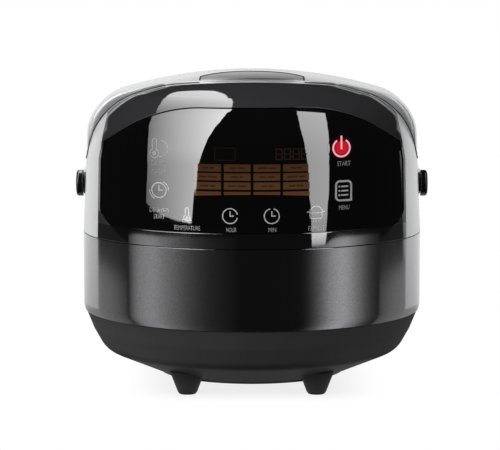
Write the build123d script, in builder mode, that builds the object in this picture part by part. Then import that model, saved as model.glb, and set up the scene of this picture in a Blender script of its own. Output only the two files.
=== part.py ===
from build123d import *
import os
from math import sqrt

# Electric multicooker: a hinged, sprung lid over a lift-out pot, a curved touch panel in a raised hood
# and a carrying handle that folds back. Millimetres: X is to the right, -Y is the front and +Z is up.
# The origin is under the middle of the part, on the surface that it stands on.

# Outside form: domed top, drawn-in base, round at the front and at the rear
BODY_R = 150.0
END_SPACING = 62.0
TOP_Z = 275.3
CROWN_R = 340.0
SHOULDER_R = 60.0
LID_CROWN_R = 420.0
LID_SHOULDER_R = 40.0
WALL_LEAN = 4.8
TURN_HIGH_Z = 68.5
TURN_LOW_Z = 48.9
TURN_LOW_IN = 7.8
TURN_R = 25.0
KNEE_IN = 17.9
KNEE_Z = 31.0
KNEE_R = 20.0
BASE_FLAT_IN = 65.0
BASE_Z = 11.0

# Walls, fits and gaps
WALL = 2.5
SHEET = 1.0
FIT = 0.2
RUN_GAP = 0.3
SEAM_GAP = 0.6
GROOVE = 0.6
SHAFT_PLAY = 0.05
LIP_T = 1.6
LIP_H = 5.0

# Base, band and feet
BASE_STEP = 0.8
BAND_Z = 65.5
BAND_TOP_Z = 135.0
COVER_T = 2.0
COVER_IN = 3.0
COVER_LAND = 14.0
VENT_W = 3.0
VENT_L = 44.0
VENT_PITCH = 9.0
VENT_COUNT = 7
SCREW_R = 1.8
SCREW_HEAD_R = 3.6
SCREW_HEAD_T = 1.8
SCREW_L = 9.0
SCREW_BOSS_R = 4.5
SCREW_IN = 5.0
FOOT_X = 56.0
FOOT_OUT = 74.0
FOOT_TIP_R = 7.5
FOOT_TOP_R = 14.5
FOOT_TOP_Z = 26.0
FOOT_EDGE_R = 1.5

# Seam between lid and body: level at the sides, round about the pot at the front
LID_SEAM_Z = 200.0
SEAM_OUT = 8.5
SEAM_AHEAD = 31.0
SEAM_NOTCH_R = 20.0
SEAM_CORNER_R = 18.0

# Control panel, as seen from the front
SIDE_STRIP = 16.8
PANEL_RIM = 4.5
PANEL_TURN_Z = 203.0
PANEL_TURN_IN = 1.0
PANEL_CORNER_IN = 25.5
PANEL_CORNER_DROP = 25.8
PANEL_CORNER_R = 12.0
PANEL_TOP_DROP = 2.3
FRAME_SIDE = 2.0
WINDOW_SILL = 13.5
WINDOW_SILL_R = 14.0
WINDOW_RISE = 16.5
WINDOW_BREAK_IN = 47.5
WINDOW_TOP_DROP = 24.0
WINDOW_BREAK_R = 124.0
WINDOW_SINK = 0.7
WINDOW_T = 2.2

# Boards in the hood
SHELF_Z = 160.0
SHELF_T = 3.0
BOARD_T = 1.6
CONTROL_BOARD_BACK = 40.0
CONTROL_BOARD_W = 160.0
CONTROL_BOARD_H = 66.0
DISPLAY_W = 104.0
DISPLAY_H = 48.0
DISPLAY_T = 10.0
DISPLAY_LIFT = 14.0
POWER_BOARD_BACK = 66.0
POWER_BOARD_W = 150.0
POWER_BOARD_H = 46.0
POWER_PART_X = 50.0
CAPACITOR_R = 8.0
CAPACITOR_L = 20.0
RELAY_W = 20.0
RELAY_H = 16.0
RELAY_T = 14.0
HEAT_SINK_W = 34.0
HEAT_SINK_H = 26.0
HEAT_SINK_T = 10.0

# Pot, heater and sensor
POT_R = 111.0
POT_WALL = 2.0
POT_CORNER_R = 22.0
POT_RIM_W = 5.0
POT_RIM_T = 2.0
POT_RIM_DROP = 4.2
COLLAR_GAP = 1.5
COLLAR_H = 5.8
SHIELD_GAP = 3.0
SHIELD_Z = 36.0
SHIELD_HOLE_R = 30.0
HEATER_IN = 23.0
HEATER_T = 10.5
HEATER_LEG = 5.0
HEATER_LEG_R = 6.0
HEATER_LEG_IN = 18.0
HEATER_LEG_COUNT = 3
SENSOR_CAP_R = 15.0
SENSOR_CAP_T = 4.5
SENSOR_R = 12.0
SENSOR_L = 15.5
SENSOR_STEM_R = 3.5
SENSOR_STEM_L = 10.0
SENSOR_GAP = 1.5
SENSOR_CUP_R = 24.0
SENSOR_CUP_H = 15.0
SENSOR_CUP_FLANGE = 10.0
SENSOR_SPRING_R = 8.0
SENSOR_SPRING_WIRE = 0.7
SENSOR_SPRING_TURNS = 5

# Lid fittings
INNER_LID_GAP = 2.0
INNER_LID_T = 1.5
GASKET_W = 7.0
GASKET_LIP = 3.0
LID_KNOB_R = 11.0
LID_KNOB_H = 8.0
LID_KNOB_EDGE_R = 2.5
DUCT_R = 20.0
DUCT_BACK = 40.0
DUCT_HOLE_R = 12.0
VALVE_CAP_R = 26.5
VALVE_CAP_T = 3.0
VALVE_LIFT = 3.0
VALVE_GAP = 0.4
VALVE_SLOT_W = 3.0
VALVE_SLOT_L = 22.0
VALVE_SLOT_PITCH = 8.0
VALVE_SLOT_COUNT = 3
VALVE_HOLE_R = 2.5
VALVE_HOLE_OUT = 8.0
VALVE_HOLE_COUNT = 3

# Release button and latch, in the front of the lid
BUTTON_HALF_W = 45.0
BUTTON_SIDE_AHEAD = 27.0
BUTTON_REAR_AHEAD = 0.0
BUTTON_GAP = 0.5
BUTTON_PROUD = 0.8
BUTTON_T = 3.2
BUTTON_EDGE_R = 0.7
PAN_DEPTH = 12.0
PAN_WALL = 1.5
PLUNGER_R = 5.0
PLUNGER_AHEAD = 26.0
PLUNGER_L = 26.0
LATCH_PIN_R = 2.0
LATCH_PIN_AHEAD = 46.0
LATCH_PIN_DROP = 5.0
LATCH_HUB_R = 5.0
LATCH_PLAY = 0.8
LATCH_W = 14.0
LATCH_T = 4.0
LATCH_RISE = 13.0
LATCH_SLOT_GAP = 3.0
LATCH_SLOT_D = 10.0
BRACKET_T = 2.0
BRACKET_GAP = 0.4
BRACKET_PAD = 5.0
KEEPER_T = 1.5
KEEPER_MARGIN = 5.0
BUTTON_SPRING_R = 3.4
BUTTON_SPRING_WIRE = 0.6
BUTTON_SPRING_TURNS = 4
BUTTON_SPRING_X = 24.0
BUTTON_SPRING_AHEAD = 30.0

# Lid hinge and its housing on the rear wall
HINGE_OFFSET = 6.0
EAR_R = 7.0
EAR_W = 25.0
BARREL_GAP = 0.4
SPRING_WELL_L = 12.0
HINGE_PIN_R = 2.5
BARREL_R = 6.0
BARREL_HALF_W = 34.0
LUG_T = 4.4
LUG_REACH = 10.0
HOUSING_HALF_W = 64.0
HOUSING_TOP_DROP = 4.0
HOUSING_EDGE_R = 4.0
HINGE_SPRING_R = 4.3
HINGE_SPRING_WIRE = 0.7
HINGE_SPRING_TURNS = 5

# Condensate cup under the hinge
CUP_HALF_W = 40.0
CUP_Z = 118.0
CUP_H = 42.0
CUP_DEPTH = 23.0
CUP_WALL = 1.6
CUP_GAP = 0.4
CUP_DOCK_WALL = 1.8
CUP_EDGE_R = 5.0
DRAIN_W = 30.0
DRAIN_D = 5.0

# Mains inlet on the rear of the band
INLET_Z = 92.0
INLET_W = 31.0
INLET_H = 24.0
INLET_L = 22.0
INLET_PROUD = 1.0
INLET_CAVITY_W = 24.4
INLET_CAVITY_H = 16.6
INLET_CAVITY_L = 16.0
INLET_CHAMFER = 4.0
PIN_W = 4.0
PIN_T = 2.0
PIN_L = 13.0
PIN_SPACING = 14.0
PIN_EARTH_RISE = 4.0

# Carrying handle
PIVOT_Z = 174.0
PIVOT_BACK = 29.0
PIVOT_BOSS_R = 9.6
PIVOT_BOSS_OUT = 1.6
PIVOT_STEM_R = 6.0
PIVOT_STEM_L = 8.0
PIVOT_STUD_R = 5.0
PIVOT_STUD_L = 4.0
KNOB_R = 11.8
KNOB_T = 6.4
KNOB_EDGE_R = 2.6
KNOB_BACK_R = 1.0
KNOB_GAP = 0.4
BAIL_T = 4.8
BAIL_H = 12.0
BAIL_EDGE_R = 1.6
BAIL_CORNER_R = 95.0
BAIL_GAP = 5.0
GRIP_D = 14.0
GRIP_H = 17.0
GRIP_HALF_L = 58.0
GRIP_EDGE_R = 5.0

# Places worked out from the sizes above
HANDLE_REAR = BODY_R + HINGE_OFFSET + EAR_R + BAIL_GAP + GRIP_D
FRONT_Y = (BODY_R - END_SPACING - HANDLE_REAR) / 2
POT_Y = FRONT_Y + END_SPACING
MIDDLE_Y = FRONT_Y + END_SPACING / 2
HINGE_Y = POT_Y + BODY_R + HINGE_OFFSET
EAR_X = BARREL_HALF_W + BARREL_GAP
PIVOT_Y = FRONT_Y + PIVOT_BACK
REAR_WALL_Y = POT_Y + BODY_R
BASE_BOTTOM_Z = BASE_Z + BASE_STEP
COVER_R = BODY_R - BASE_FLAT_IN - COVER_IN
SCREW_X = COVER_R - SCREW_IN
SEAM_R = POT_R + SEAM_OUT
HEATER_R = POT_R - HEATER_IN
INNER_LID_R = POT_R - POT_WALL - INNER_LID_GAP
RIM_Z = LID_SEAM_Z - POT_RIM_DROP
COLLAR_TOP_Z = RIM_Z - POT_RIM_T
SHIELD_TOP_Z = COLLAR_TOP_Z - COLLAR_H
TUBE_R = SEAM_R + WALL
HEATER_Z = SHIELD_Z + SHEET + HEATER_LEG
POT_Z = HEATER_Z + HEATER_T
LID_FLOOR_Z = LID_SEAM_Z + SEAM_GAP
DUCT_Y = POT_Y + DUCT_BACK
PANEL_HALF_W = BODY_R - SIDE_STRIP
BUTTON_FRONT_R = SEAM_R - SEAM_GAP - WALL - BUTTON_GAP
PLUNGER_Z = TOP_Z - BUTTON_T - PLUNGER_L
LATCH_ARM_Z = PLUNGER_Z - LATCH_PLAY - LATCH_T / 2
LATCH_PIN_Z = LATCH_ARM_Z - LATCH_PIN_DROP
LATCH_Z = LATCH_PIN_Z + LATCH_RISE
BOSS_X = BODY_R + PIVOT_BOSS_OUT
KNOB_X = BOSS_X + KNOB_GAP
BAIL_X = KNOB_X + KNOB_T / 2
BAIL_Y = POT_Y + HANDLE_REAR - GRIP_D / 2
FAR = 2 * (BODY_R + END_SPACING + TOP_Z)
FRONT_AXIS = Axis((0, FRONT_Y, 0), (0, 0, 1))
CROWN_CENTRE = (0, FRONT_Y, TOP_Z - CROWN_R)
LID_CROWN_CENTRE = (0, FRONT_Y, TOP_Z - LID_CROWN_R)
POT_AXIS = Axis((0, POT_Y, 0), (0, 0, 1))


def ahead(distance):
    """Y of a place that lies this far in front of the axis of the front end."""
    return FRONT_Y - distance


def body_form(inset, crown_r=CROWN_R, shoulder_r=SHOULDER_R):
    """Solid of the outside form, drawn in by inset on every side."""
    corner_x = BODY_R - WALL_LEAN
    corner_z = TOP_Z - crown_r + sqrt(crown_r**2 - corner_x**2)
    low_x = BODY_R - TURN_LOW_IN
    knee_x = BODY_R - KNEE_IN
    flat_x = BODY_R - BASE_FLAT_IN
    with BuildPart() as form:
        with BuildSketch(Plane.XZ.offset(-FRONT_Y)) as section:
            with BuildLine():
                ThreePointArc((-corner_x, corner_z), (0, TOP_Z), (corner_x, corner_z))
                for side in (1, -1):
                    Polyline((side * corner_x, corner_z), (side * BODY_R, BAND_TOP_Z),
                             (side * BODY_R, TURN_HIGH_Z), (side * low_x, TURN_LOW_Z),
                             (side * knee_x, KNEE_Z), (side * flat_x, BASE_Z))
                Line((-flat_x, BASE_Z), (flat_x, BASE_Z))
            make_face()
            fillet(section.vertices().group_by(Axis.Y)[-1], shoulder_r)
            fillet(section.vertices().group_by(Axis.Y)[3], TURN_R)
            fillet(section.vertices().group_by(Axis.Y)[2], TURN_R)
            fillet(section.vertices().group_by(Axis.Y)[1], KNEE_R)
            if inset:
                offset(amount=-inset)
        half = split(section.sketch, bisect_by=Plane.YZ, keep=Keep.TOP, mode=Mode.PRIVATE)
        rear_half = half.moved(Location((0, END_SPACING, 0)))
        extrude(amount=-END_SPACING)
        revolve(half.faces(), axis=FRONT_AXIS, revolution_arc=-180)
        revolve(rear_half.faces(), axis=POT_AXIS, revolution_arc=180)
    return form.part


def shell(outer_inset, thickness):
    """Hollow wall between two depths under the outside form."""
    with BuildPart() as wall:
        add(body_form(outer_inset))
        add(body_form(outer_inset + thickness), mode=Mode.SUBTRACT)
    return wall.part


def slab(low, high):
    """Everything between two heights."""
    with BuildPart() as layer:
        with Locations((0, MIDDLE_Y, low)):
            Box(FAR, FAR, high - low, align=(Align.CENTER, Align.CENTER, Align.MIN))
    return layer.part


def disc(radius, low, high):
    """Upright cylinder about the pot's axis."""
    with BuildPart() as cylinder:
        with BuildSketch(Plane.XY.offset(low)):
            with Locations((0, POT_Y)):
                Circle(radius)
        extrude(amount=high - low)
    return cylinder.part


def lid_zone(grow):
    """Space that the lid takes up: behind a cross line, bulging forward about the pot, above the seam."""
    low = LID_SEAM_Z - grow
    line_y = ahead(SEAM_AHEAD + grow)
    with BuildPart() as zone:
        with BuildSketch(Plane.YZ) as side_view:
            with BuildLine():
                Polyline((line_y, low), (line_y + FAR, low), (line_y + FAR, low + FAR),
                         (line_y, low + FAR), close=True)
            make_face()
            fillet(side_view.vertices().sort_by_distance((line_y, low, 0))[0], SEAM_CORNER_R + grow)
        extrude(amount=FAR / 2, both=True)
        add(disc(SEAM_R + grow, low, low + FAR))
        notches = zone.edges().filter_by(Axis.Z).filter_by(lambda edge: abs(edge.center().Y - line_y) < 1)
        fillet(notches, SEAM_NOTCH_R - grow)
    return zone.part


def panel_side_x(height):
    """Half width of the panel at a height above the place where its sides turn in."""
    share = (height - PANEL_TURN_Z) / (TOP_Z - PANEL_CORNER_DROP - PANEL_TURN_Z)
    turn_x = PANEL_HALF_W - PANEL_TURN_IN
    return turn_x + share * (BODY_R - PANEL_CORNER_IN - turn_x)


def panel_prism(grow):
    """Front part of the body that the panel covers, by its outline as seen from the front."""
    corner_z = TOP_Z - PANEL_CORNER_DROP
    corner_x = panel_side_x(corner_z)
    with BuildPart() as prism:
        with BuildSketch(Plane.XZ.offset(-FRONT_Y)) as outline:
            with BuildLine():
                ThreePointArc((-corner_x, corner_z), (0, TOP_Z - PANEL_TOP_DROP), (corner_x, corner_z))
                for side in (1, -1):
                    Polyline((side * corner_x, corner_z), (side * panel_side_x(PANEL_TURN_Z), PANEL_TURN_Z),
                             (side * PANEL_HALF_W, BAND_TOP_Z + GROOVE))
                Line((-PANEL_HALF_W, BAND_TOP_Z + GROOVE), (PANEL_HALF_W, BAND_TOP_Z + GROOVE))
            make_face()
            fillet(outline.vertices().group_by(Axis.Y)[-1], PANEL_CORNER_R)
            if grow:
                offset(amount=grow)
        extrude(amount=FAR)
        add(lid_zone(PANEL_RIM - grow), mode=Mode.SUBTRACT)
    return prism.part


def window_prism(grow):
    """Front part of the body that the window covers, by its outline as seen from the front."""
    sill_z = BAND_TOP_Z + WINDOW_SILL
    side_x = PANEL_HALF_W - FRAME_SIDE
    turn_x = panel_side_x(PANEL_TURN_Z) - FRAME_SIDE
    corner_z = PANEL_TURN_Z + WINDOW_RISE
    corner_x = panel_side_x(corner_z) - FRAME_SIDE
    break_x = corner_x - WINDOW_BREAK_IN
    top_z = TOP_Z - WINDOW_TOP_DROP
    with BuildPart() as prism:
        with BuildSketch(Plane.XZ.offset(-FRONT_Y)) as outline:
            with BuildLine():
                Polyline((side_x, sill_z), (turn_x, PANEL_TURN_Z), (corner_x, corner_z),
                         (break_x, top_z), (-break_x, top_z), (-corner_x, corner_z),
                         (-turn_x, PANEL_TURN_Z), (-side_x, sill_z), close=True)
            make_face()
            fillet(outline.vertices().group_by(Axis.Y)[-1], WINDOW_BREAK_R)
            fillet(outline.vertices().group_by(Axis.Y)[0], WINDOW_SILL_R)
            if grow:
                offset(amount=grow)
        extrude(amount=FAR)
    return prism.part


def button_prism(grow):
    """Front of the lid that the release button covers, by its outline as seen from above."""
    with BuildPart() as prism:
        with BuildSketch(Plane.XY.offset(LID_SEAM_Z)):
            with BuildLine():
                ThreePointArc((-BUTTON_HALF_W, ahead(BUTTON_SIDE_AHEAD)), (0, ahead(BUTTON_REAR_AHEAD)),
                              (BUTTON_HALF_W, ahead(BUTTON_SIDE_AHEAD)))
                Polyline((BUTTON_HALF_W, ahead(BUTTON_SIDE_AHEAD)), (BUTTON_HALF_W, ahead(BODY_R)),
                         (-BUTTON_HALF_W, ahead(BODY_R)), (-BUTTON_HALF_W, ahead(BUTTON_SIDE_AHEAD)))
            make_face()
            with Locations((0, POT_Y)):
                Circle(BUTTON_FRONT_R, mode=Mode.INTERSECT)
            if grow:
                offset(amount=grow)
        extrude(amount=FAR)
    return prism.part


def crown_z(x, distance, inset):
    """Height of the crown, or of a face at some depth under it, ahead of the front end's axis."""
    return TOP_Z - CROWN_R + sqrt((CROWN_R - inset)**2 - x**2 - distance**2)


def coil(low, high, radius, wire, turns):
    """Spring of round wire about the vertical axis, between two heights."""
    rise = high - low - 2 * wire
    with BuildPart() as spring:
        with BuildLine(Plane.XY.offset(low + wire)) as path:
            Helix(rise / turns, rise, radius)
        with BuildSketch(path.line ^ 0):
            Circle(wire)
        sweep(path=path.line, is_frenet=True)
    return spring.part


os.makedirs("parts", exist_ok=True)

OUTSIDE = body_form(0)
LID_OUTSIDE = body_form(0, LID_CROWN_R, LID_SHOULDER_R)
INSIDE = body_form(WALL + FIT)
OUTER_WALL = shell(0, WALL)
LID_SPACE = lid_zone(0)
LID_FILL = lid_zone(-SEAM_GAP)
INLET_Y = REAR_WALL_Y + INLET_PROUD

# Base: drawn-in lower casing with a lip that the band sits over and bosses for the cover's screws
LIP_IN = WALL + FIT
with BuildPart() as base_lip:
    add(body_form(LIP_IN))
    add(slab(BAND_Z, BAND_Z + LIP_H), mode=Mode.INTERSECT)
with BuildPart() as screw_bosses:
    with BuildSketch(Plane.XY.offset(BASE_BOTTOM_Z)):
        with Locations((0, MIDDLE_Y)):
            with GridLocations(2 * SCREW_X, END_SPACING, 2, 2):
                Circle(SCREW_BOSS_R)
    extrude(amount=SCREW_L)
with BuildPart() as screw_shanks:
    with BuildSketch(Plane.XY.offset(BASE_BOTTOM_Z - COVER_T)):
        with Locations((0, MIDDLE_Y)):
            with GridLocations(2 * SCREW_X, END_SPACING, 2, 2):
                Circle(SCREW_R)
    extrude(amount=SCREW_L)
with BuildPart() as base_shell:
    add(body_form(BASE_STEP))
    add(slab(0, BAND_Z), mode=Mode.INTERSECT)
    add(base_lip.part)
    add(body_form(LIP_IN + LIP_T), mode=Mode.SUBTRACT)
    with BuildSketch(Plane.XY.offset(BASE_Z)):
        with Locations((0, MIDDLE_Y)):
            SlotCenterToCenter(END_SPACING, 2 * (BODY_R - BASE_FLAT_IN - COVER_LAND), rotation=90)
    extrude(amount=LIP_IN + LIP_T, mode=Mode.SUBTRACT)
    add(screw_bosses.part)
    add(screw_shanks.part, mode=Mode.SUBTRACT)
base_shell.part.label = "base_shell"
export_step(base_shell.part, "parts/base_shell.step")

# Bottom cover: flat plate with cooling slots, screwed on from below
with BuildPart() as bottom_cover:
    with BuildSketch(Plane.XY.offset(BASE_BOTTOM_Z - COVER_T)):
        with Locations((0, MIDDLE_Y)):
            SlotCenterToCenter(END_SPACING, 2 * COVER_R, rotation=90)
            with GridLocations(0, VENT_PITCH, 1, VENT_COUNT):
                SlotOverall(VENT_L, VENT_W, mode=Mode.SUBTRACT)
    extrude(amount=COVER_T)
    add(screw_shanks.part, mode=Mode.SUBTRACT)
bottom_cover.part.label = "bottom_cover"
export_step(bottom_cover.part, "parts/bottom_cover.step")

# Base screws: four pan-head screws through the cover
with BuildPart() as base_screws:
    add(screw_shanks.part)
    with BuildSketch(Plane.XY.offset(BASE_BOTTOM_Z - COVER_T)):
        with Locations((0, MIDDLE_Y)):
            with GridLocations(2 * SCREW_X, END_SPACING, 2, 2):
                Circle(SCREW_HEAD_R)
    extrude(amount=-SCREW_HEAD_T)
    fillet(base_screws.faces().group_by(Axis.Z)[0].edges(), SCREW_HEAD_T / 2)
base_screws.part.label = "base_screws"
export_step(base_screws.part, "parts/base_screws.step")

# Feet: tapered pads that run up into the slope of the base
BASE_OUTSIDE = body_form(BASE_STEP)
FEET = {
    "foot_front_left": (-FOOT_X, ahead(FOOT_OUT)),
    "foot_front_right": (FOOT_X, ahead(FOOT_OUT)),
    "foot_rear_left": (-FOOT_X, POT_Y + FOOT_OUT),
    "foot_rear_right": (FOOT_X, POT_Y + FOOT_OUT),
}
for foot_name, (foot_x, foot_y) in FEET.items():
    with BuildPart() as foot:
        with Locations((foot_x, foot_y, 0)):
            Cone(FOOT_TIP_R, FOOT_TOP_R, FOOT_TOP_Z, align=(Align.CENTER, Align.CENTER, Align.MIN))
        fillet(foot.edges().group_by(Axis.Z)[0], FOOT_EDGE_R)
        add(BASE_OUTSIDE, mode=Mode.SUBTRACT)
        add(bottom_cover.part, mode=Mode.SUBTRACT)
    foot.part.label = foot_name
    export_step(foot.part, f"parts/{foot_name}.step")

# Body band: the middle casing, with a lip for the upper shell, open at the rear for the mains inlet
with BuildPart() as band_lip:
    add(body_form(LIP_IN))
    add(slab(BAND_TOP_Z, BAND_TOP_Z + LIP_H), mode=Mode.INTERSECT)
with BuildPart() as band_hollow:
    add(body_form(WALL))
    add(slab(0, BAND_TOP_Z - LIP_H), mode=Mode.INTERSECT)
    add(body_form(LIP_IN + LIP_T))
with BuildPart() as body_band:
    add(OUTSIDE)
    add(slab(BAND_Z + GROOVE, BAND_TOP_Z), mode=Mode.INTERSECT)
    add(band_lip.part)
    add(band_hollow.part, mode=Mode.SUBTRACT)
    with BuildSketch(Plane.XZ.offset(-INLET_Y)):
        with Locations((0, INLET_Z)):
            Rectangle(INLET_W + 2 * FIT, INLET_H + 2 * FIT)
    extrude(amount=INLET_L + INLET_PROUD, mode=Mode.SUBTRACT)
body_band.part.label = "body_band"
export_step(body_band.part, "parts/body_band.step")

# Upper shell: silver sides, rear and the arch over the panel
with BuildPart() as upper_shell:
    add(OUTER_WALL)
    add(slab(BAND_TOP_Z + GROOVE, FAR), mode=Mode.INTERSECT)
    add(LID_SPACE, mode=Mode.SUBTRACT)
    add(panel_prism(FIT), mode=Mode.SUBTRACT)
    with BuildSketch(Plane.YZ):
        with Locations((PIVOT_Y, PIVOT_Z)):
            Circle(PIVOT_STEM_R + FIT)
    extrude(amount=FAR / 2, both=True, mode=Mode.SUBTRACT)
upper_shell.part.label = "upper_shell"
export_step(upper_shell.part, "parts/upper_shell.step")

# Panel frame: dark surround of the control window
with BuildPart() as panel_frame:
    add(OUTER_WALL)
    add(panel_prism(0), mode=Mode.INTERSECT)
    add(window_prism(FIT), mode=Mode.SUBTRACT)
panel_frame.part.label = "panel_frame"
export_step(panel_frame.part, "parts/panel_frame.step")

# Control window: curved touch lens, let in below the frame's surface
with BuildPart() as control_window:
    add(shell(WINDOW_SINK, WINDOW_T))
    add(window_prism(0), mode=Mode.INTERSECT)
control_window.part.label = "control_window"
export_step(control_window.part, "parts/control_window.step")

# Inner deck: ledge round the pot, wall of the hood and the tube that the lid's plug goes into
with BuildPart() as inner_deck:
    add(lid_zone(WALL))
    add(disc(TUBE_R, SHIELD_TOP_Z, LID_SEAM_Z))
    add(LID_SPACE, mode=Mode.SUBTRACT)
    add(disc(SEAM_R, SHIELD_TOP_Z, LID_SEAM_Z), mode=Mode.SUBTRACT)
    add(INSIDE, mode=Mode.INTERSECT)
with BuildPart() as keeper_slot:
    with Locations((0, POT_Y - SEAM_R, LATCH_Z)):
        Box(LATCH_W + 2 * LATCH_SLOT_GAP, LATCH_SLOT_D, LATCH_T + 2 * LATCH_SLOT_GAP)
with BuildPart() as deck:
    add(inner_deck.part)
    add(keeper_slot.part, mode=Mode.SUBTRACT)
deck.part.label = "inner_deck"
export_step(deck.part, "parts/inner_deck.step")

# Latch keeper: steel plate behind the slot that the latch reaches into
with BuildPart() as latch_keeper:
    with Locations((0, POT_Y - TUBE_R - FIT, LATCH_Z)):
        Box(LATCH_W + 2 * (LATCH_SLOT_GAP + KEEPER_MARGIN), KEEPER_T,
            LATCH_T + 2 * (LATCH_SLOT_GAP + KEEPER_MARGIN), align=(Align.CENTER, Align.MAX, Align.CENTER))
    add(keeper_slot.part, mode=Mode.SUBTRACT)
latch_keeper.part.label = "latch_keeper"
export_step(latch_keeper.part, "parts/latch_keeper.step")

# Board shelf: crescent across the hood that carries both circuit boards
with BuildPart() as board_shelf:
    add(body_form(WINDOW_SINK + WINDOW_T + FIT))
    add(slab(SHELF_Z, SHELF_Z + SHELF_T), mode=Mode.INTERSECT)
    add(disc(TUBE_R + WALL, 0, FAR), mode=Mode.SUBTRACT)
    with Locations((0, ahead(SEAM_AHEAD), 0)):
        Box(FAR, FAR, FAR, align=(Align.CENTER, Align.MIN, Align.CENTER), mode=Mode.SUBTRACT)
board_shelf.part.label = "board_shelf"
export_step(board_shelf.part, "parts/board_shelf.step")

# Control board: upright behind the window
BOARD_Z = SHELF_Z + SHELF_T
CONTROL_BOARD_Y = FRONT_Y - BODY_R + CONTROL_BOARD_BACK
with BuildPart() as control_board:
    with Locations((0, CONTROL_BOARD_Y, BOARD_Z)):
        Box(CONTROL_BOARD_W, BOARD_T, CONTROL_BOARD_H, align=(Align.CENTER, Align.MIN, Align.MIN))
control_board.part.label = "control_board"
export_step(control_board.part, "parts/control_board.step")

# Display module: flat panel on the front of the control board
with BuildPart() as display_module:
    with Locations((0, CONTROL_BOARD_Y, BOARD_Z + DISPLAY_LIFT)):
        Box(DISPLAY_W, DISPLAY_T, DISPLAY_H, align=(Align.CENTER, Align.MAX, Align.MIN))
    fillet(display_module.edges().filter_by(Axis.Y), BOARD_T)
display_module.part.label = "display_module"
export_step(display_module.part, "parts/display_module.step")

# Power board: upright in front of the pot, with its relay, heat sink and capacitor
POWER_BOARD_Y = FRONT_Y - BODY_R + POWER_BOARD_BACK
with BuildPart() as power_board:
    with Locations((0, POWER_BOARD_Y, BOARD_Z)):
        Box(POWER_BOARD_W, BOARD_T, POWER_BOARD_H, align=(Align.CENTER, Align.MIN, Align.MIN))
    with Locations((-POWER_PART_X, POWER_BOARD_Y, BOARD_Z + POWER_BOARD_H / 2)):
        Box(RELAY_W, RELAY_T, RELAY_H, align=(Align.CENTER, Align.MAX, Align.CENTER))
    with Locations((0, POWER_BOARD_Y, BOARD_Z + POWER_BOARD_H / 2)):
        Box(HEAT_SINK_W, HEAT_SINK_T, HEAT_SINK_H, align=(Align.CENTER, Align.MAX, Align.CENTER))
    with BuildSketch(Plane.XZ.offset(-POWER_BOARD_Y)):
        with Locations((POWER_PART_X, BOARD_Z + POWER_BOARD_H / 2)):
            Circle(CAPACITOR_R)
    extrude(amount=CAPACITOR_L)
power_board.part.label = "power_board"
export_step(power_board.part, "parts/power_board.step")

# Inner pot: drawn aluminium bowl with a turned-out rim
with BuildPart() as inner_pot:
    with BuildSketch(Plane.XZ.offset(-POT_Y)) as pot_section:
        with BuildLine():
            FilletPolyline((0, POT_Z), (POT_R, POT_Z), (POT_R, COLLAR_TOP_Z), radius=POT_CORNER_R)
            Polyline((POT_R, COLLAR_TOP_Z), (POT_R + POT_RIM_W, COLLAR_TOP_Z), (POT_R + POT_RIM_W, RIM_Z),
                     (POT_R - POT_WALL, RIM_Z))
            FilletPolyline((POT_R - POT_WALL, RIM_Z), (POT_R - POT_WALL, POT_Z + POT_WALL),
                           (0, POT_Z + POT_WALL), radius=POT_CORNER_R - POT_WALL)
            Line((0, POT_Z + POT_WALL), (0, POT_Z))
        make_face()
    revolve(axis=POT_AXIS)
inner_pot.part.label = "inner_pot"
export_step(inner_pot.part, "parts/inner_pot.step")

# Pot collar: ring that the pot's rim rests on
with BuildPart() as pot_collar:
    with BuildSketch(Plane.XY.offset(SHIELD_TOP_Z)):
        with Locations((0, POT_Y)):
            Circle(SEAM_R - FIT)
            Circle(POT_R + COLLAR_GAP, mode=Mode.SUBTRACT)
    extrude(amount=COLLAR_H)
pot_collar.part.label = "pot_collar"
export_step(pot_collar.part, "parts/pot_collar.step")

# Heat shield: sheet steel cup round the pot, hung from the deck by its flange
SHIELD_R = POT_R + SHIELD_GAP
with BuildPart() as heat_shield:
    with BuildSketch(Plane.XZ.offset(-POT_Y)):
        with BuildLine():
            Polyline((SHIELD_HOLE_R, SHIELD_Z), (SHIELD_R + SHEET, SHIELD_Z),
                     (SHIELD_R + SHEET, SHIELD_TOP_Z - SHEET), (TUBE_R, SHIELD_TOP_Z - SHEET),
                     (TUBE_R, SHIELD_TOP_Z), (SHIELD_R, SHIELD_TOP_Z), (SHIELD_R, SHIELD_Z + SHEET),
                     (SHIELD_HOLE_R, SHIELD_Z + SHEET), close=True)
        make_face()
    revolve(axis=POT_AXIS)
heat_shield.part.label = "heat_shield"
export_step(heat_shield.part, "parts/heat_shield.step")

# Heater plate: cast plate under the pot, on three legs, with a well for the sensor
with BuildPart() as heater_plate:
    with BuildSketch(Plane.XY.offset(HEATER_Z)):
        with Locations((0, POT_Y)):
            Circle(HEATER_R)
    extrude(amount=HEATER_T)
    with BuildSketch(Plane.XY.offset(HEATER_Z)):
        with Locations((0, POT_Y)):
            with PolarLocations(HEATER_R - HEATER_LEG_IN, HEATER_LEG_COUNT):
                Circle(HEATER_LEG_R)
    extrude(amount=-HEATER_LEG)
    with BuildSketch(Plane.XY.offset(HEATER_Z)):
        with Locations((0, POT_Y)):
            Circle(SENSOR_CAP_R + SENSOR_GAP)
    extrude(amount=HEATER_T, mode=Mode.SUBTRACT)
heater_plate.part.label = "heater_plate"
export_step(heater_plate.part, "parts/heater_plate.step")

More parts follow.
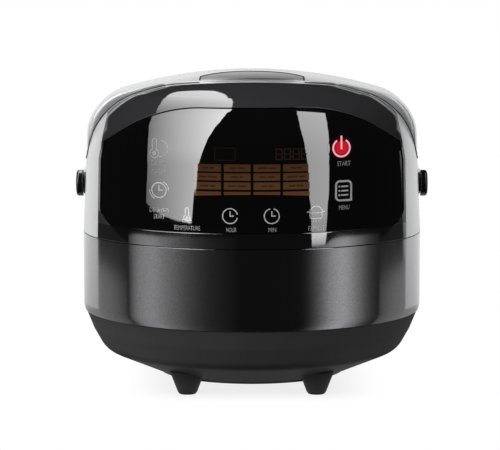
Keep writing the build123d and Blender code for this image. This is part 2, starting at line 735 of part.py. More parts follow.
# Pot sensor: sprung button that touches the pot through the heater plate
SENSOR_Z = POT_Z - SENSOR_L
with BuildPart() as pot_sensor:
    with BuildSketch(Plane.XZ.offset(-POT_Y)):
        with BuildLine():
            Polyline((0, POT_Z), (SENSOR_CAP_R, POT_Z), (SENSOR_CAP_R, POT_Z - SENSOR_CAP_T),
                     (SENSOR_R, POT_Z - SENSOR_CAP_T), (SENSOR_R, SENSOR_Z), (SENSOR_STEM_R, SENSOR_Z),
                     (SENSOR_STEM_R, SENSOR_Z - SENSOR_STEM_L), (0, SENSOR_Z - SENSOR_STEM_L), close=True)
        make_face()
    revolve(axis=POT_AXIS)
pot_sensor.part.label = "pot_sensor"
export_step(pot_sensor.part, "parts/pot_sensor.step")

# Sensor cup: sheet cup under the heat shield that the sensor's spring stands in
SENSOR_CUP_Z = SHIELD_Z - SENSOR_CUP_H
with BuildPart() as sensor_cup:
    with BuildSketch(Plane.XZ.offset(-POT_Y)):
        with BuildLine():
            Polyline((0, SENSOR_CUP_Z), (SENSOR_CUP_R, SENSOR_CUP_Z), (SENSOR_CUP_R, SHIELD_Z - SHEET),
                     (SHIELD_HOLE_R + SENSOR_CUP_FLANGE, SHIELD_Z - SHEET),
                     (SHIELD_HOLE_R + SENSOR_CUP_FLANGE, SHIELD_Z), (SENSOR_CUP_R - SHEET, SHIELD_Z),
                     (SENSOR_CUP_R - SHEET, SENSOR_CUP_Z + SHEET), (0, SENSOR_CUP_Z + SHEET), close=True)
        make_face()
    revolve(axis=POT_AXIS)
sensor_cup.part.label = "sensor_cup"
export_step(sensor_cup.part, "parts/sensor_cup.step")

# Sensor spring: presses the sensor up against the pot
sensor_coil = coil(SENSOR_CUP_Z + SHEET, SENSOR_Z, SENSOR_SPRING_R, SENSOR_SPRING_WIRE, SENSOR_SPRING_TURNS)
with BuildPart() as sensor_spring:
    add(sensor_coil.moved(Location((0, POT_Y, 0))))
sensor_spring.part.label = "sensor_spring"
export_step(sensor_spring.part, "parts/sensor_spring.step")

# Mains inlet: socket block let into the rear of the band
with BuildPart() as power_inlet:
    with BuildSketch(Plane.XZ.offset(-INLET_Y)):
        with Locations((0, INLET_Z)):
            Rectangle(INLET_W, INLET_H)
    extrude(amount=INLET_L)
    with BuildSketch(Plane.XZ.offset(-INLET_Y)) as cavity:
        with Locations((0, INLET_Z)):
            Rectangle(INLET_CAVITY_W, INLET_CAVITY_H)
        chamfer(cavity.vertices().group_by(Axis.Y)[-1], INLET_CHAMFER)
    extrude(amount=INLET_CAVITY_L, mode=Mode.SUBTRACT)
power_inlet.part.label = "power_inlet"
export_step(power_inlet.part, "parts/power_inlet.step")

# Inlet pins: three blades that stand on the socket's floor
with BuildPart() as inlet_pins:
    with BuildSketch(Plane.XZ.offset(INLET_CAVITY_L - INLET_Y)):
        with Locations((-PIN_SPACING / 2, INLET_Z - PIN_EARTH_RISE / 2),
                       (PIN_SPACING / 2, INLET_Z - PIN_EARTH_RISE / 2),
                       (0, INLET_Z + PIN_EARTH_RISE / 2)):
            Rectangle(PIN_T, PIN_W)
    extrude(amount=-PIN_L)
inlet_pins.part.label = "inlet_pins"
export_step(inlet_pins.part, "parts/inlet_pins.step")

# Hinge housing: block on the rear wall with two ears for the pin and a dock for the cup
HOUSING_REAR_Y = HINGE_Y + EAR_R
HOUSING_TOP_Z = LID_SEAM_Z - HOUSING_TOP_DROP
HOUSING_Z = CUP_Z - CUP_GAP - CUP_DOCK_WALL
CUP_FRONT_Y = REAR_WALL_Y + RUN_GAP + CUP_DOCK_WALL + CUP_GAP
with BuildPart() as hinge_housing:
    with BuildSketch(Plane.XY.offset(HOUSING_Z)) as housing_plan:
        with BuildLine():
            Polyline((-HOUSING_HALF_W, POT_Y), (-HOUSING_HALF_W, HOUSING_REAR_Y),
                     (HOUSING_HALF_W, HOUSING_REAR_Y), (HOUSING_HALF_W, POT_Y), close=True)
        make_face()
        fillet(housing_plan.vertices().group_by(Axis.Y)[-1], HOUSING_EDGE_R)
    extrude(amount=HOUSING_TOP_Z - HOUSING_Z)
    with BuildSketch(Plane.YZ.offset(EAR_X), Plane.YZ.offset(-EAR_X - EAR_W)):
        with Locations((HINGE_Y, LID_SEAM_Z)):
            Circle(EAR_R)
        with Locations((HINGE_Y, LID_SEAM_Z)):
            Rectangle(2 * EAR_R, EAR_R, align=(Align.CENTER, Align.MAX))
    extrude(amount=EAR_W)
    with BuildSketch(Plane.YZ):
        with Locations((HINGE_Y, LID_SEAM_Z)):
            Circle(BARREL_R + 2 * RUN_GAP)
    extrude(amount=EAR_X, both=True, mode=Mode.SUBTRACT)
    with BuildSketch(Plane.YZ):
        with Locations((HINGE_Y, LID_SEAM_Z)):
            Circle(HINGE_SPRING_R + HINGE_SPRING_WIRE + RUN_GAP)
    extrude(amount=EAR_X + SPRING_WELL_L, both=True, mode=Mode.SUBTRACT)
    with BuildSketch(Plane.YZ):
        with Locations((HINGE_Y, LID_SEAM_Z)):
            Circle(HINGE_PIN_R)
    extrude(amount=FAR / 2, both=True, mode=Mode.SUBTRACT)
    with Locations((0, CUP_FRONT_Y - CUP_GAP, CUP_Z - CUP_GAP)):
        Box(2 * (CUP_HALF_W + CUP_GAP), FAR, CUP_H + 2 * CUP_GAP,
            align=(Align.CENTER, Align.MIN, Align.MIN), mode=Mode.SUBTRACT)
    with Locations((0, CUP_FRONT_Y + CUP_WALL, CUP_Z + CUP_H)):
        Box(DRAIN_W, DRAIN_D, FAR, align=(Align.CENTER, Align.MIN, Align.MIN), mode=Mode.SUBTRACT)
    add(body_form(-RUN_GAP, LID_CROWN_R, LID_SHOULDER_R), mode=Mode.SUBTRACT)
hinge_housing.part.label = "hinge_housing"
export_step(hinge_housing.part, "parts/hinge_housing.step")

# Hinge pin: steel rod through the ears and the lid's barrel
with BuildPart() as hinge_pin:
    with BuildSketch(Plane.YZ):
        with Locations((HINGE_Y, LID_SEAM_Z)):
            Circle(HINGE_PIN_R)
    extrude(amount=EAR_X + EAR_W, both=True)
hinge_pin.part.label = "hinge_pin"
export_step(hinge_pin.part, "parts/hinge_pin.step")

# Hinge springs: a coil on the pin, in a well inside each ear
hinge_coil = coil(EAR_X + FIT, EAR_X + SPRING_WELL_L - FIT, HINGE_SPRING_R, HINGE_SPRING_WIRE,
                  HINGE_SPRING_TURNS)
with BuildPart() as hinge_springs:
    for spring_side in (1, -1):
        hinge_place = Plane(origin=(0, HINGE_Y, LID_SEAM_Z), x_dir=(0, 1, 0), z_dir=(spring_side, 0, 0))
        add(hinge_coil.moved(hinge_place.location))
hinge_springs.part.label = "hinge_springs"
export_step(hinge_springs.part, "parts/hinge_springs.step")

# Condensate cup: small open box in the dock under the hinge
with BuildPart() as condensate_cup:
    with Locations((0, CUP_FRONT_Y, CUP_Z)):
        Box(2 * CUP_HALF_W, CUP_DEPTH, CUP_H, align=(Align.CENTER, Align.MIN, Align.MIN))
    fillet(condensate_cup.faces().sort_by(Axis.Y)[-1].edges().filter_by(Axis.Z), CUP_EDGE_R)
    with BuildSketch(Plane.XY.offset(CUP_Z + CUP_WALL)):
        add(condensate_cup.faces().sort_by(Axis.Z)[-1])
        offset(amount=-CUP_WALL)
    extrude(amount=CUP_H, mode=Mode.SUBTRACT)
condensate_cup.part.label = "condensate_cup"
export_step(condensate_cup.part, "parts/condensate_cup.step")

# Lid shell: silver dome with a fuller shoulder, open for the button, the steam valve and the hinge
with BuildPart() as lid_shell:
    add(LID_OUTSIDE)
    add(body_form(WALL), mode=Mode.SUBTRACT)
    add(LID_FILL, mode=Mode.INTERSECT)
    add(button_prism(BUTTON_GAP), mode=Mode.SUBTRACT)
    with BuildSketch(Plane.XY):
        with Locations((0, DUCT_Y)):
            Circle(VALVE_CAP_R + VALVE_GAP)
    extrude(amount=FAR, mode=Mode.SUBTRACT)
    with Locations((0, HINGE_Y, LID_FLOOR_Z)):
        Box(2 * (BARREL_HALF_W + FIT), HINGE_OFFSET + EAR_R + LUG_REACH, 2 * (BARREL_R + FIT),
            align=(Align.CENTER, Align.MAX, Align.CENTER), mode=Mode.SUBTRACT)
lid_shell.part.label = "lid_shell"
export_step(lid_shell.part, "parts/lid_shell.step")

# Lid liner: floor and front wall of the lid, with the steam duct and the hinge barrel
with BuildPart() as steam_duct:
    with BuildSketch(Plane.XY.offset(LID_FLOOR_Z)):
        with Locations((0, DUCT_Y)):
            Circle(DUCT_R + WALL)
            Circle(DUCT_R, mode=Mode.SUBTRACT)
    extrude(amount=FAR)
    add(body_form(VALVE_CAP_T + RUN_GAP), mode=Mode.INTERSECT)
with BuildPart() as lid_liner:
    add(LID_FILL)
    add(lid_zone(-SEAM_GAP - WALL), mode=Mode.SUBTRACT)
    add(INSIDE, mode=Mode.INTERSECT)
    add(steam_duct.part)
    with Locations((0, HINGE_Y, LID_FLOOR_Z)):
        Box(2 * BARREL_HALF_W, HINGE_OFFSET + LUG_REACH, LUG_T, align=(Align.CENTER, Align.MAX, Align.MIN))
    with BuildSketch(Plane.YZ):
        with Locations((HINGE_Y, LID_SEAM_Z)):
            Circle(BARREL_R)
    extrude(amount=BARREL_HALF_W, both=True)
    with BuildSketch(Plane.YZ):
        with Locations((HINGE_Y, LID_SEAM_Z)):
            Circle(HINGE_PIN_R + SHAFT_PLAY)
    extrude(amount=BARREL_HALF_W, both=True, mode=Mode.SUBTRACT)
    with BuildSketch(Plane.XY.offset(LID_FLOOR_Z)):
        with Locations((0, DUCT_Y)):
            Circle(DUCT_HOLE_R)
    extrude(amount=WALL, mode=Mode.SUBTRACT)
    add(keeper_slot.part, mode=Mode.SUBTRACT)
lid_liner.part.label = "lid_liner"
export_step(lid_liner.part, "parts/lid_liner.step")

# Inner lid: aluminium disc under the liner, with a steam hole under the duct
with BuildPart() as inner_lid:
    with BuildSketch(Plane.XY.offset(LID_FLOOR_Z - INNER_LID_T)):
        with Locations((0, POT_Y)):
            Circle(INNER_LID_R)
        with Locations((0, DUCT_Y)):
            Circle(DUCT_HOLE_R, mode=Mode.SUBTRACT)
    extrude(amount=INNER_LID_T)
inner_lid.part.label = "inner_lid"
export_step(inner_lid.part, "parts/inner_lid.step")

# Inner lid knob: holds the disc and lets it be pulled off
with BuildPart() as inner_lid_knob:
    with BuildSketch(Plane.XY.offset(LID_FLOOR_Z - INNER_LID_T)):
        with Locations((0, POT_Y)):
            Circle(LID_KNOB_R)
    extrude(amount=-LID_KNOB_H)
    fillet(inner_lid_knob.edges().group_by(Axis.Z)[0], LID_KNOB_EDGE_R)
inner_lid_knob.part.label = "inner_lid_knob"
export_step(inner_lid_knob.part, "parts/inner_lid_knob.step")

# Lid gasket: silicone ring round the inner lid, over the pot's rim
GASKET_Z = RIM_Z + RUN_GAP
GASKET_TOP_Z = LID_FLOOR_Z - FIT
with BuildPart() as lid_gasket:
    with BuildSketch(Plane.XZ.offset(-POT_Y)):
        with BuildLine():
            Polyline((INNER_LID_R, GASKET_Z), (INNER_LID_R + GASKET_W - GASKET_LIP, GASKET_Z),
                     (INNER_LID_R + GASKET_W, (GASKET_Z + GASKET_TOP_Z) / 2),
                     (INNER_LID_R + GASKET_W, GASKET_TOP_Z), (INNER_LID_R, GASKET_TOP_Z), close=True)
        make_face()
    revolve(axis=POT_AXIS)
lid_gasket.part.label = "lid_gasket"
export_step(lid_gasket.part, "parts/lid_gasket.step")

# Steam valve cap: slotted disc, flush with the dome
with BuildPart() as steam_valve_cap:
    add(LID_OUTSIDE)
    add(body_form(VALVE_CAP_T), mode=Mode.SUBTRACT)
    with BuildSketch(Plane.XY.offset(LID_FLOOR_Z)):
        with Locations((0, DUCT_Y)):
            Circle(VALVE_CAP_R)
    extrude(amount=FAR, mode=Mode.INTERSECT)
    with BuildSketch(Plane.XY.offset(LID_FLOOR_Z)):
        with Locations((0, DUCT_Y)):
            with GridLocations(0, VALVE_SLOT_PITCH, 1, VALVE_SLOT_COUNT):
                SlotOverall(VALVE_SLOT_L, VALVE_SLOT_W)
    extrude(amount=FAR, mode=Mode.SUBTRACT)
steam_valve_cap.part.label = "steam_valve_cap"
export_step(steam_valve_cap.part, "parts/steam_valve_cap.step")

# Steam valve body: cup under the cap that slides in the duct
VALVE_Z = LID_FLOOR_Z + WALL + VALVE_LIFT
VALVE_R = DUCT_R - RUN_GAP
with BuildPart() as steam_valve_body:
    with BuildSketch(Plane.XY.offset(VALVE_Z)):
        with Locations((0, DUCT_Y)):
            Circle(VALVE_R)
    extrude(amount=FAR)
    with BuildSketch(Plane.XY.offset(VALVE_Z + WALL)):
        with Locations((0, DUCT_Y)):
            Circle(VALVE_R - WALL)
    extrude(amount=FAR, mode=Mode.SUBTRACT)
    with BuildSketch(Plane.XY.offset(VALVE_Z)):
        with Locations((0, DUCT_Y)):
            with PolarLocations(VALVE_HOLE_OUT, VALVE_HOLE_COUNT):
                Circle(VALVE_HOLE_R)
    extrude(amount=WALL, mode=Mode.SUBTRACT)
    add(body_form(VALVE_CAP_T), mode=Mode.INTERSECT)
steam_valve_body.part.label = "steam_valve_body"
export_step(steam_valve_body.part, "parts/steam_valve_body.step")

# Steam valve seal: silicone ring between the valve body and the duct's floor
with BuildPart() as steam_valve_seal:
    with BuildSketch(Plane.XY.offset(LID_FLOOR_Z + WALL)):
        with Locations((0, DUCT_Y)):
            Circle(VALVE_R - RUN_GAP)
            Circle(DUCT_HOLE_R, mode=Mode.SUBTRACT)
    extrude(amount=VALVE_LIFT)
steam_valve_seal.part.label = "steam_valve_seal"
export_step(steam_valve_seal.part, "parts/steam_valve_seal.step")

# Release button: curved plate in the front of the lid with a plunger under it
with BuildPart() as release_button:
    add(button_prism(0))
    with Locations(LID_CROWN_CENTRE):
        Sphere(LID_CROWN_R + BUTTON_PROUD, mode=Mode.INTERSECT)
    fillet(release_button.faces().sort_by(Axis.Z)[-1].edges(), BUTTON_EDGE_R)
    with Locations(CROWN_CENTRE):
        Sphere(CROWN_R + BUTTON_PROUD - BUTTON_T, mode=Mode.SUBTRACT)
    with BuildSketch(Plane.XY.offset(PLUNGER_Z)):
        with Locations((0, ahead(PLUNGER_AHEAD))):
            Circle(PLUNGER_R)
    extrude(amount=crown_z(0, PLUNGER_AHEAD, BUTTON_T / 2) - PLUNGER_Z)
release_button.part.label = "release_button"
export_step(release_button.part, "parts/release_button.step")

# Button pan: recess under the button, hung from the lid shell
with BuildPart() as pan_hollow:
    add(button_prism(BUTTON_GAP))
    with Locations(CROWN_CENTRE):
        Sphere(CROWN_R - PAN_DEPTH, mode=Mode.SUBTRACT)
with BuildPart() as button_pan:
    add(button_prism(BUTTON_GAP + PAN_WALL))
    add(disc(BUTTON_FRONT_R + BUTTON_GAP - FIT, 0, FAR), mode=Mode.INTERSECT)
    with Locations(CROWN_CENTRE):
        Sphere(CROWN_R - WALL - FIT, mode=Mode.INTERSECT)
        Sphere(CROWN_R - PAN_DEPTH - PAN_WALL, mode=Mode.SUBTRACT)
    add(pan_hollow.part, mode=Mode.SUBTRACT)
    with BuildSketch(Plane.XY.offset(PLUNGER_Z)):
        with Locations((0, ahead(PLUNGER_AHEAD))):
            Circle(PLUNGER_R + BUTTON_GAP)
    extrude(amount=FAR, mode=Mode.SUBTRACT)
button_pan.part.label = "button_pan"
export_step(button_pan.part, "parts/button_pan.step")

# Button springs: two coils between the pan and the button
SPRING_LOW_Z = crown_z(BUTTON_SPRING_X, BUTTON_SPRING_AHEAD, PAN_DEPTH) + BUTTON_GAP
SPRING_HIGH_Z = crown_z(BUTTON_SPRING_X, BUTTON_SPRING_AHEAD, BUTTON_T - BUTTON_PROUD) - BUTTON_GAP
button_coil = coil(SPRING_LOW_Z, SPRING_HIGH_Z, BUTTON_SPRING_R, BUTTON_SPRING_WIRE, BUTTON_SPRING_TURNS)
with BuildPart() as button_springs:
    for spring_side in (1, -1):
        add(button_coil.moved(Location((spring_side * BUTTON_SPRING_X, ahead(BUTTON_SPRING_AHEAD), 0))))
button_springs.part.label = "button_springs"
export_step(button_springs.part, "parts/button_springs.step")

# Latch: rocker that the plunger tips, with its tongue in the slot of the lid's front wall
LATCH_PIN_Y = ahead(LATCH_PIN_AHEAD)
LATCH_TIP_Y = POT_Y - SEAM_R + SEAM_GAP + FIT
with BuildPart() as latch_hook:
    with BuildSketch(Plane.YZ):
        with BuildLine():
            Line((ahead(PLUNGER_AHEAD) + PLUNGER_R, LATCH_ARM_Z), (LATCH_PIN_Y, LATCH_ARM_Z))
            Polyline((LATCH_PIN_Y, LATCH_PIN_Z), (LATCH_PIN_Y, LATCH_Z), (LATCH_TIP_Y, LATCH_Z))
        trace(line_width=LATCH_T)
        with Locations((LATCH_PIN_Y, LATCH_PIN_Z)):
            Circle(LATCH_HUB_R)
            Circle(LATCH_PIN_R + SHAFT_PLAY, mode=Mode.SUBTRACT)
    extrude(amount=LATCH_W / 2, both=True)
latch_hook.part.label = "latch_hook"
export_step(latch_hook.part, "parts/latch_hook.step")

# Latch bracket: two cheeks on the lid's floor that carry the latch pin
CHEEK_X = LATCH_W / 2 + BRACKET_GAP
CHEEK_TOP_Z = LATCH_PIN_Z + BRACKET_PAD
with BuildPart() as latch_bracket:
    with Locations((0, LATCH_PIN_Y, LID_FLOOR_Z + WALL)):
        Box(2 * (CHEEK_X + BRACKET_T), 2 * BRACKET_PAD, CHEEK_TOP_Z - LID_FLOOR_Z - WALL,
            align=(Align.CENTER, Align.CENTER, Align.MIN))
    with Locations((0, LATCH_PIN_Y, LID_FLOOR_Z + WALL + BRACKET_T)):
        Box(2 * CHEEK_X, 2 * BRACKET_PAD, FAR, align=(Align.CENTER, Align.CENTER, Align.MIN),
            mode=Mode.SUBTRACT)
    with BuildSketch(Plane.YZ):
        with Locations((LATCH_PIN_Y, LATCH_PIN_Z)):
            Circle(LATCH_PIN_R)
    extrude(amount=FAR / 2, both=True, mode=Mode.SUBTRACT)
latch_bracket.part.label = "latch_bracket"
export_step(latch_bracket.part, "parts/latch_bracket.step")

# Latch pin: the rocker's axle
with BuildPart() as latch_pin:
    with BuildSketch(Plane.YZ):
        with Locations((LATCH_PIN_Y, LATCH_PIN_Z)):
            Circle(LATCH_PIN_R)
    extrude(amount=CHEEK_X + BRACKET_T, both=True)
latch_pin.part.label = "latch_pin"
export_step(latch_pin.part, "parts/latch_pin.step")

# Handle pivots and knobs: a stud through each side wall, and the round end of the handle on it
for side_name, side in (("left", -1), ("right", 1)):
    side_plane = Plane(origin=(0, PIVOT_Y, PIVOT_Z), x_dir=(0, side, 0), z_dir=(side, 0, 0))
    with BuildPart() as pivot_boss:
        with BuildSketch(side_plane):
            Circle(PIVOT_BOSS_R)
        extrude(amount=BOSS_X)
        add(OUTSIDE, mode=Mode.SUBTRACT)
    with BuildPart() as handle_pivot:
        add(pivot_boss.part)
        with BuildSketch(side_plane.offset(BODY_R - PIVOT_STEM_L)):
            Circle(PIVOT_STEM_R)
        extrude(amount=PIVOT_STEM_L + PIVOT_BOSS_OUT)
        with BuildSketch(side_plane.offset(BOSS_X)):
            Circle(PIVOT_STUD_R)
        extrude(amount=PIVOT_STUD_L)
    handle_pivot.part.label = f"handle_pivot_{side_name}"
    export_step(handle_pivot.part, f"parts/handle_pivot_{side_name}.step")

    with BuildPart() as handle_knob:
        with BuildSketch(side_plane.offset(KNOB_X)):
            Circle(KNOB_R)
        extrude(amount=KNOB_T)
        fillet(handle_knob.edges().group_by(Axis.X)[0 if side < 0 else -1], KNOB_EDGE_R)
        fillet(handle_knob.edges().group_by(Axis.X)[-1 if side < 0 else 0], KNOB_BACK_R)
        with BuildSketch(side_plane.offset(KNOB_X)):
            Circle(PIVOT_STUD_R + SHAFT_PLAY)
        extrude(amount=PIVOT_STUD_L, mode=Mode.SUBTRACT)
    handle_knob.part.label = f"handle_knob_{side_name}"
    export_step(handle_knob.part, f"parts/handle_knob_{side_name}.step")

# Handle bail: flat bow from knob to knob, behind the body
with BuildPart() as handle_bail:
    with BuildLine(Plane.XY.offset(PIVOT_Z)) as bow:
        FilletPolyline((-BAIL_X, PIVOT_Y), (-BAIL_X, BAIL_Y), (BAIL_X, BAIL_Y), (BAIL_X, PIVOT_Y),
                       radius=BAIL_CORNER_R)
    with BuildSketch(Plane(origin=(-BAIL_X, PIVOT_Y, PIVOT_Z), x_dir=(1, 0, 0), z_dir=(0, 1, 0))):
        RectangleRounded(BAIL_T, BAIL_H, BAIL_EDGE_R)
    sweep(path=bow.line)
    with BuildSketch(Plane.YZ):
        with Locations((PIVOT_Y, PIVOT_Z)):
            Circle(KNOB_R)
    extrude(amount=FAR / 2, both=True, mode=Mode.SUBTRACT)
handle_bail.part.label = "handle_bail"
export_step(handle_bail.part, "parts/handle_bail.step")

# Handle grip: thicker sleeve on the middle of the bow
with BuildPart() as handle_grip:
    with BuildSketch(Plane.YZ):
        with Locations((BAIL_Y, PIVOT_Z)):
            RectangleRounded(GRIP_D, GRIP_H, GRIP_EDGE_R)
            RectangleRounded(BAIL_T, BAIL_H, BAIL_EDGE_R, mode=Mode.SUBTRACT)
    extrude(amount=GRIP_HALF_L, both=True)
handle_grip.part.label = "handle_grip"
export_step(handle_grip.part, "parts/handle_grip.step")
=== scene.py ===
"""Dressed scene of an electric multicooker: finishes, panel graphics, small fittings, camera and studio."""

import logging
import math
from dataclasses import dataclass
from enum import Enum
from typing import Any, Iterable, Sequence, Union

import bmesh
import bpy
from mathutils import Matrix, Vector


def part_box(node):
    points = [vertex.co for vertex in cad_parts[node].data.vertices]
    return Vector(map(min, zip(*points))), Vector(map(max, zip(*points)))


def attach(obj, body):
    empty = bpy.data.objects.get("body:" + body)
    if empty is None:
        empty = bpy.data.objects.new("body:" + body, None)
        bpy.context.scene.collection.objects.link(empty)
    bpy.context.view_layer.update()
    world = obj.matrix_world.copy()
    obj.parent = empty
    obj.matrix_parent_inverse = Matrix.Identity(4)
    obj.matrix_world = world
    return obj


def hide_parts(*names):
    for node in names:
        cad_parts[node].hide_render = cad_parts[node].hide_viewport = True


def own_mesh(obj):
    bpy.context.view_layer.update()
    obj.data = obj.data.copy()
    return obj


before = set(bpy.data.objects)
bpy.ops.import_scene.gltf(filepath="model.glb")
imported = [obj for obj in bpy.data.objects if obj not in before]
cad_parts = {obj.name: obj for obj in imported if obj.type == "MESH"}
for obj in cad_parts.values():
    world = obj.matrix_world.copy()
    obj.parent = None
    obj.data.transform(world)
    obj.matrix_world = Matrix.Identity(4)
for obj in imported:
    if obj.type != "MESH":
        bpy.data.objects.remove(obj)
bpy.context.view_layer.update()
LOG = logging.getLogger("multicooker")
MM = 0.001

Colour = tuple[float, float, float]
Flat = tuple[float, float]
Direction = tuple[float, float]
Place = tuple[float, float, float]
Graded = tuple[float, float, float]
Upright = tuple[float, float, float, float, float]
Number = Union[float, "Shade"]


class Body(Enum):
    """Bodies of the frame that a new piece can ride on."""

    CASING = "body"
    LID = "lid"
    HANDLE = "handle"
    CUP = "condensate_cup"


class Slot(Enum):
    """Material slots of the record."""

    WINDOW = "window_black"
    DISPLAY = "display_brown"
    GRIP = "black_plastic"
    STEEL = "plain_steel"
    POT = "pot_coating"
    INNER_LID = "cast_aluminium"
    CUP = "grey_plastic"
    SEAL = "foot_rubber"


class Shade:
    """A shader socket that takes part in Python arithmetic."""

    def __init__(self, graph: "Graph", socket: bpy.types.NodeSocket) -> None:
        """Keep the socket and the graph that new nodes go into."""
        self.graph = graph
        self.socket = socket

    def math(self, operation: str, left: Number, right: Number = 0.0) -> "Shade":
        """Add a Math node.

        Args:
            operation: Blender's name of the operation.
            left: First operand.
            right: Second operand.

        Returns:
            The node's result.
        """
        return self.graph.shade("ShaderNodeMath", {"operation": operation}, {0: left, 1: right})

    def __add__(self, other: Number) -> "Shade":
        """Sum of two values."""
        return self.math("ADD", self, other)

    def __radd__(self, other: float) -> "Shade":
        """Sum of a number and this value."""
        return self.math("ADD", other, self)

    def __sub__(self, other: Number) -> "Shade":
        """Difference of two values."""
        return self.math("SUBTRACT", self, other)

    def __rsub__(self, other: float) -> "Shade":
        """Difference of a number and this value."""
        return self.math("SUBTRACT", other, self)

    def __mul__(self, other: Number) -> "Shade":
        """Product of two values."""
        return self.math("MULTIPLY", self, other)

    def __rmul__(self, other: float) -> "Shade":
        """Product of a number and this value."""
        return self.math("MULTIPLY", other, self)

    def __truediv__(self, other: Number) -> "Shade":
        """Quotient of two values."""
        return self.math("DIVIDE", self, other)

    def __rtruediv__(self, other: float) -> "Shade":
        """Quotient of a number and this value."""
        return self.math("DIVIDE", other, self)

    def __pow__(self, other: Number) -> "Shade":
        """This value raised to a power."""
        return self.math("POWER", self, other)

    def step(self, low: float, high: float) -> "Shade":
        """Smooth step of this value.

        Args:
            low: Value at which the step is 0.
            high: Value at which the step is 1.

        Returns:
            The step, from 0 to 1.
        """
        settings = {"interpolation_type": "SMOOTHSTEP"}
        return self.graph.shade("ShaderNodeMapRange", settings, {"Value": self, 1: low, 2: high})


class Graph:
    """Node tree of one material or of the world."""

    def __init__(self, tree: bpy.types.NodeTree) -> None:
        """Take over a node tree and empty it."""
        self.tree = tree
        tree.nodes.clear()

    def node(self, kind: str, settings: dict[str, Any] | None = None,
             inputs: dict[str | int, Any] | None = None) -> bpy.types.Node:
        """Add a node.

        Args:
            kind: Blender's name of the node type.
            settings: Attributes of the node.
            inputs: Values or links of its sockets, by name or number.

        Returns:
            The node.
        """
        made = self.tree.nodes.new(kind)
        for name, value in (settings or {}).items():
            setattr(made, name, value)
        for key, value in (inputs or {}).items():
            if isinstance(value, Shade):
                self.tree.links.new(value.socket, made.inputs[key])
            else:
                made.inputs[key].default_value = value
        return made

    def shade(self, kind: str, settings: dict[str, Any] | None = None,
              inputs: dict[str | int, Any] | None = None, output: str | int = 0) -> Shade:
        """Add a node and take one of its outputs.

        Args:
            kind: Blender's name of the node type.
            settings: Attributes of the node.
            inputs: Values or links of its sockets.
            output: Name or number of the output.

        Returns:
            The output, ready for arithmetic.
        """
        return Shade(self, self.node(kind, settings, inputs).outputs[output])

    def axes(self, place: Shade) -> tuple[Shade, Shade, Shade]:
        """The three parts of a place or a direction."""
        split = self.node("ShaderNodeSeparateXYZ", {}, {0: place})
        return tuple(Shade(self, split.outputs[axis]) for axis in "XYZ")

    def object_place(self) -> Shade:
        """Coordinates on the piece, in metres."""
        return self.shade("ShaderNodeTexCoord", output="Object")


class Surface(Graph):
    """Node tree of a finish, with the coordinates on the piece and the shader that it feeds."""

    def __init__(self, tree: bpy.types.NodeTree, inputs: dict[str, Any]) -> None:
        """Start with a principled shader.

        Args:
            tree: Node tree of the material.
            inputs: Values of the shader's sockets, by name.
        """
        super().__init__(tree)
        self.place = self.object_place()
        self.shader = self.node("ShaderNodeBsdfPrincipled", {}, inputs)
        self.node("ShaderNodeOutputMaterial", {}, {"Surface": Shade(self, self.shader.outputs["BSDF"])})

    def feed(self, inputs: dict[str, Shade]) -> None:
        """Link values to the shader's sockets, by name."""
        for name, value in inputs.items():
            self.tree.links.new(value.socket, self.shader.inputs[name])

    def stretched(self, scale: Sequence[float]) -> Shade:
        """Coordinates with each axis multiplied by its own number."""
        return self.shade("ShaderNodeVectorMath", {"operation": "MULTIPLY"}, {0: self.place, 1: scale})

    def noise(self, size: float, detail: float = 2.0, scale: Sequence[float] | None = None) -> Shade:
        """Cloudy noise.

        Args:
            size: Size of a cloud in metres.
            detail: Number of finer octaves.
            scale: Numbers that the axes are multiplied by, if any.

        Returns:
            The noise, about 0.5 on average.
        """
        place = self.stretched(scale) if scale else self.place
        return self.shade("ShaderNodeTexNoise", {}, {"Vector": place, "Scale": 1 / size, "Detail": detail})

    def cells(self, size: float) -> Shade:
        """Random value of each small cell, as metal flakes have.

        Args:
            size: Size of a cell in metres.

        Returns:
            A value from 0 to 1 that is constant over a cell.
        """
        colour = self.shade("ShaderNodeTexVoronoi", {}, {"Vector": self.place, "Scale": 1 / size}, "Color")
        return self.shade("ShaderNodeSeparateColor", {}, {0: colour})

    def mix(self, share: Number, first: Any, second: Any) -> Shade:
        """Blend of two colours.

        Args:
            share: How much of the second colour there is.
            first: Colour at share 0.
            second: Colour at share 1.

        Returns:
            The blended colour.
        """
        return self.shade("ShaderNodeMix", {"data_type": "RGBA"}, {0: share, 6: first, 7: second}, 2)


def opaque(colour: Colour, share: float = 1.0) -> tuple[float, float, float, float]:
    """Colour with full alpha, darkened or lightened by a share."""
    return (colour[0] * share, colour[1] * share, colour[2] * share, 1.0)


def grey(value: float) -> tuple[float, float, float, float]:
    """Grey with full alpha."""
    return (value, value, value, 1.0)


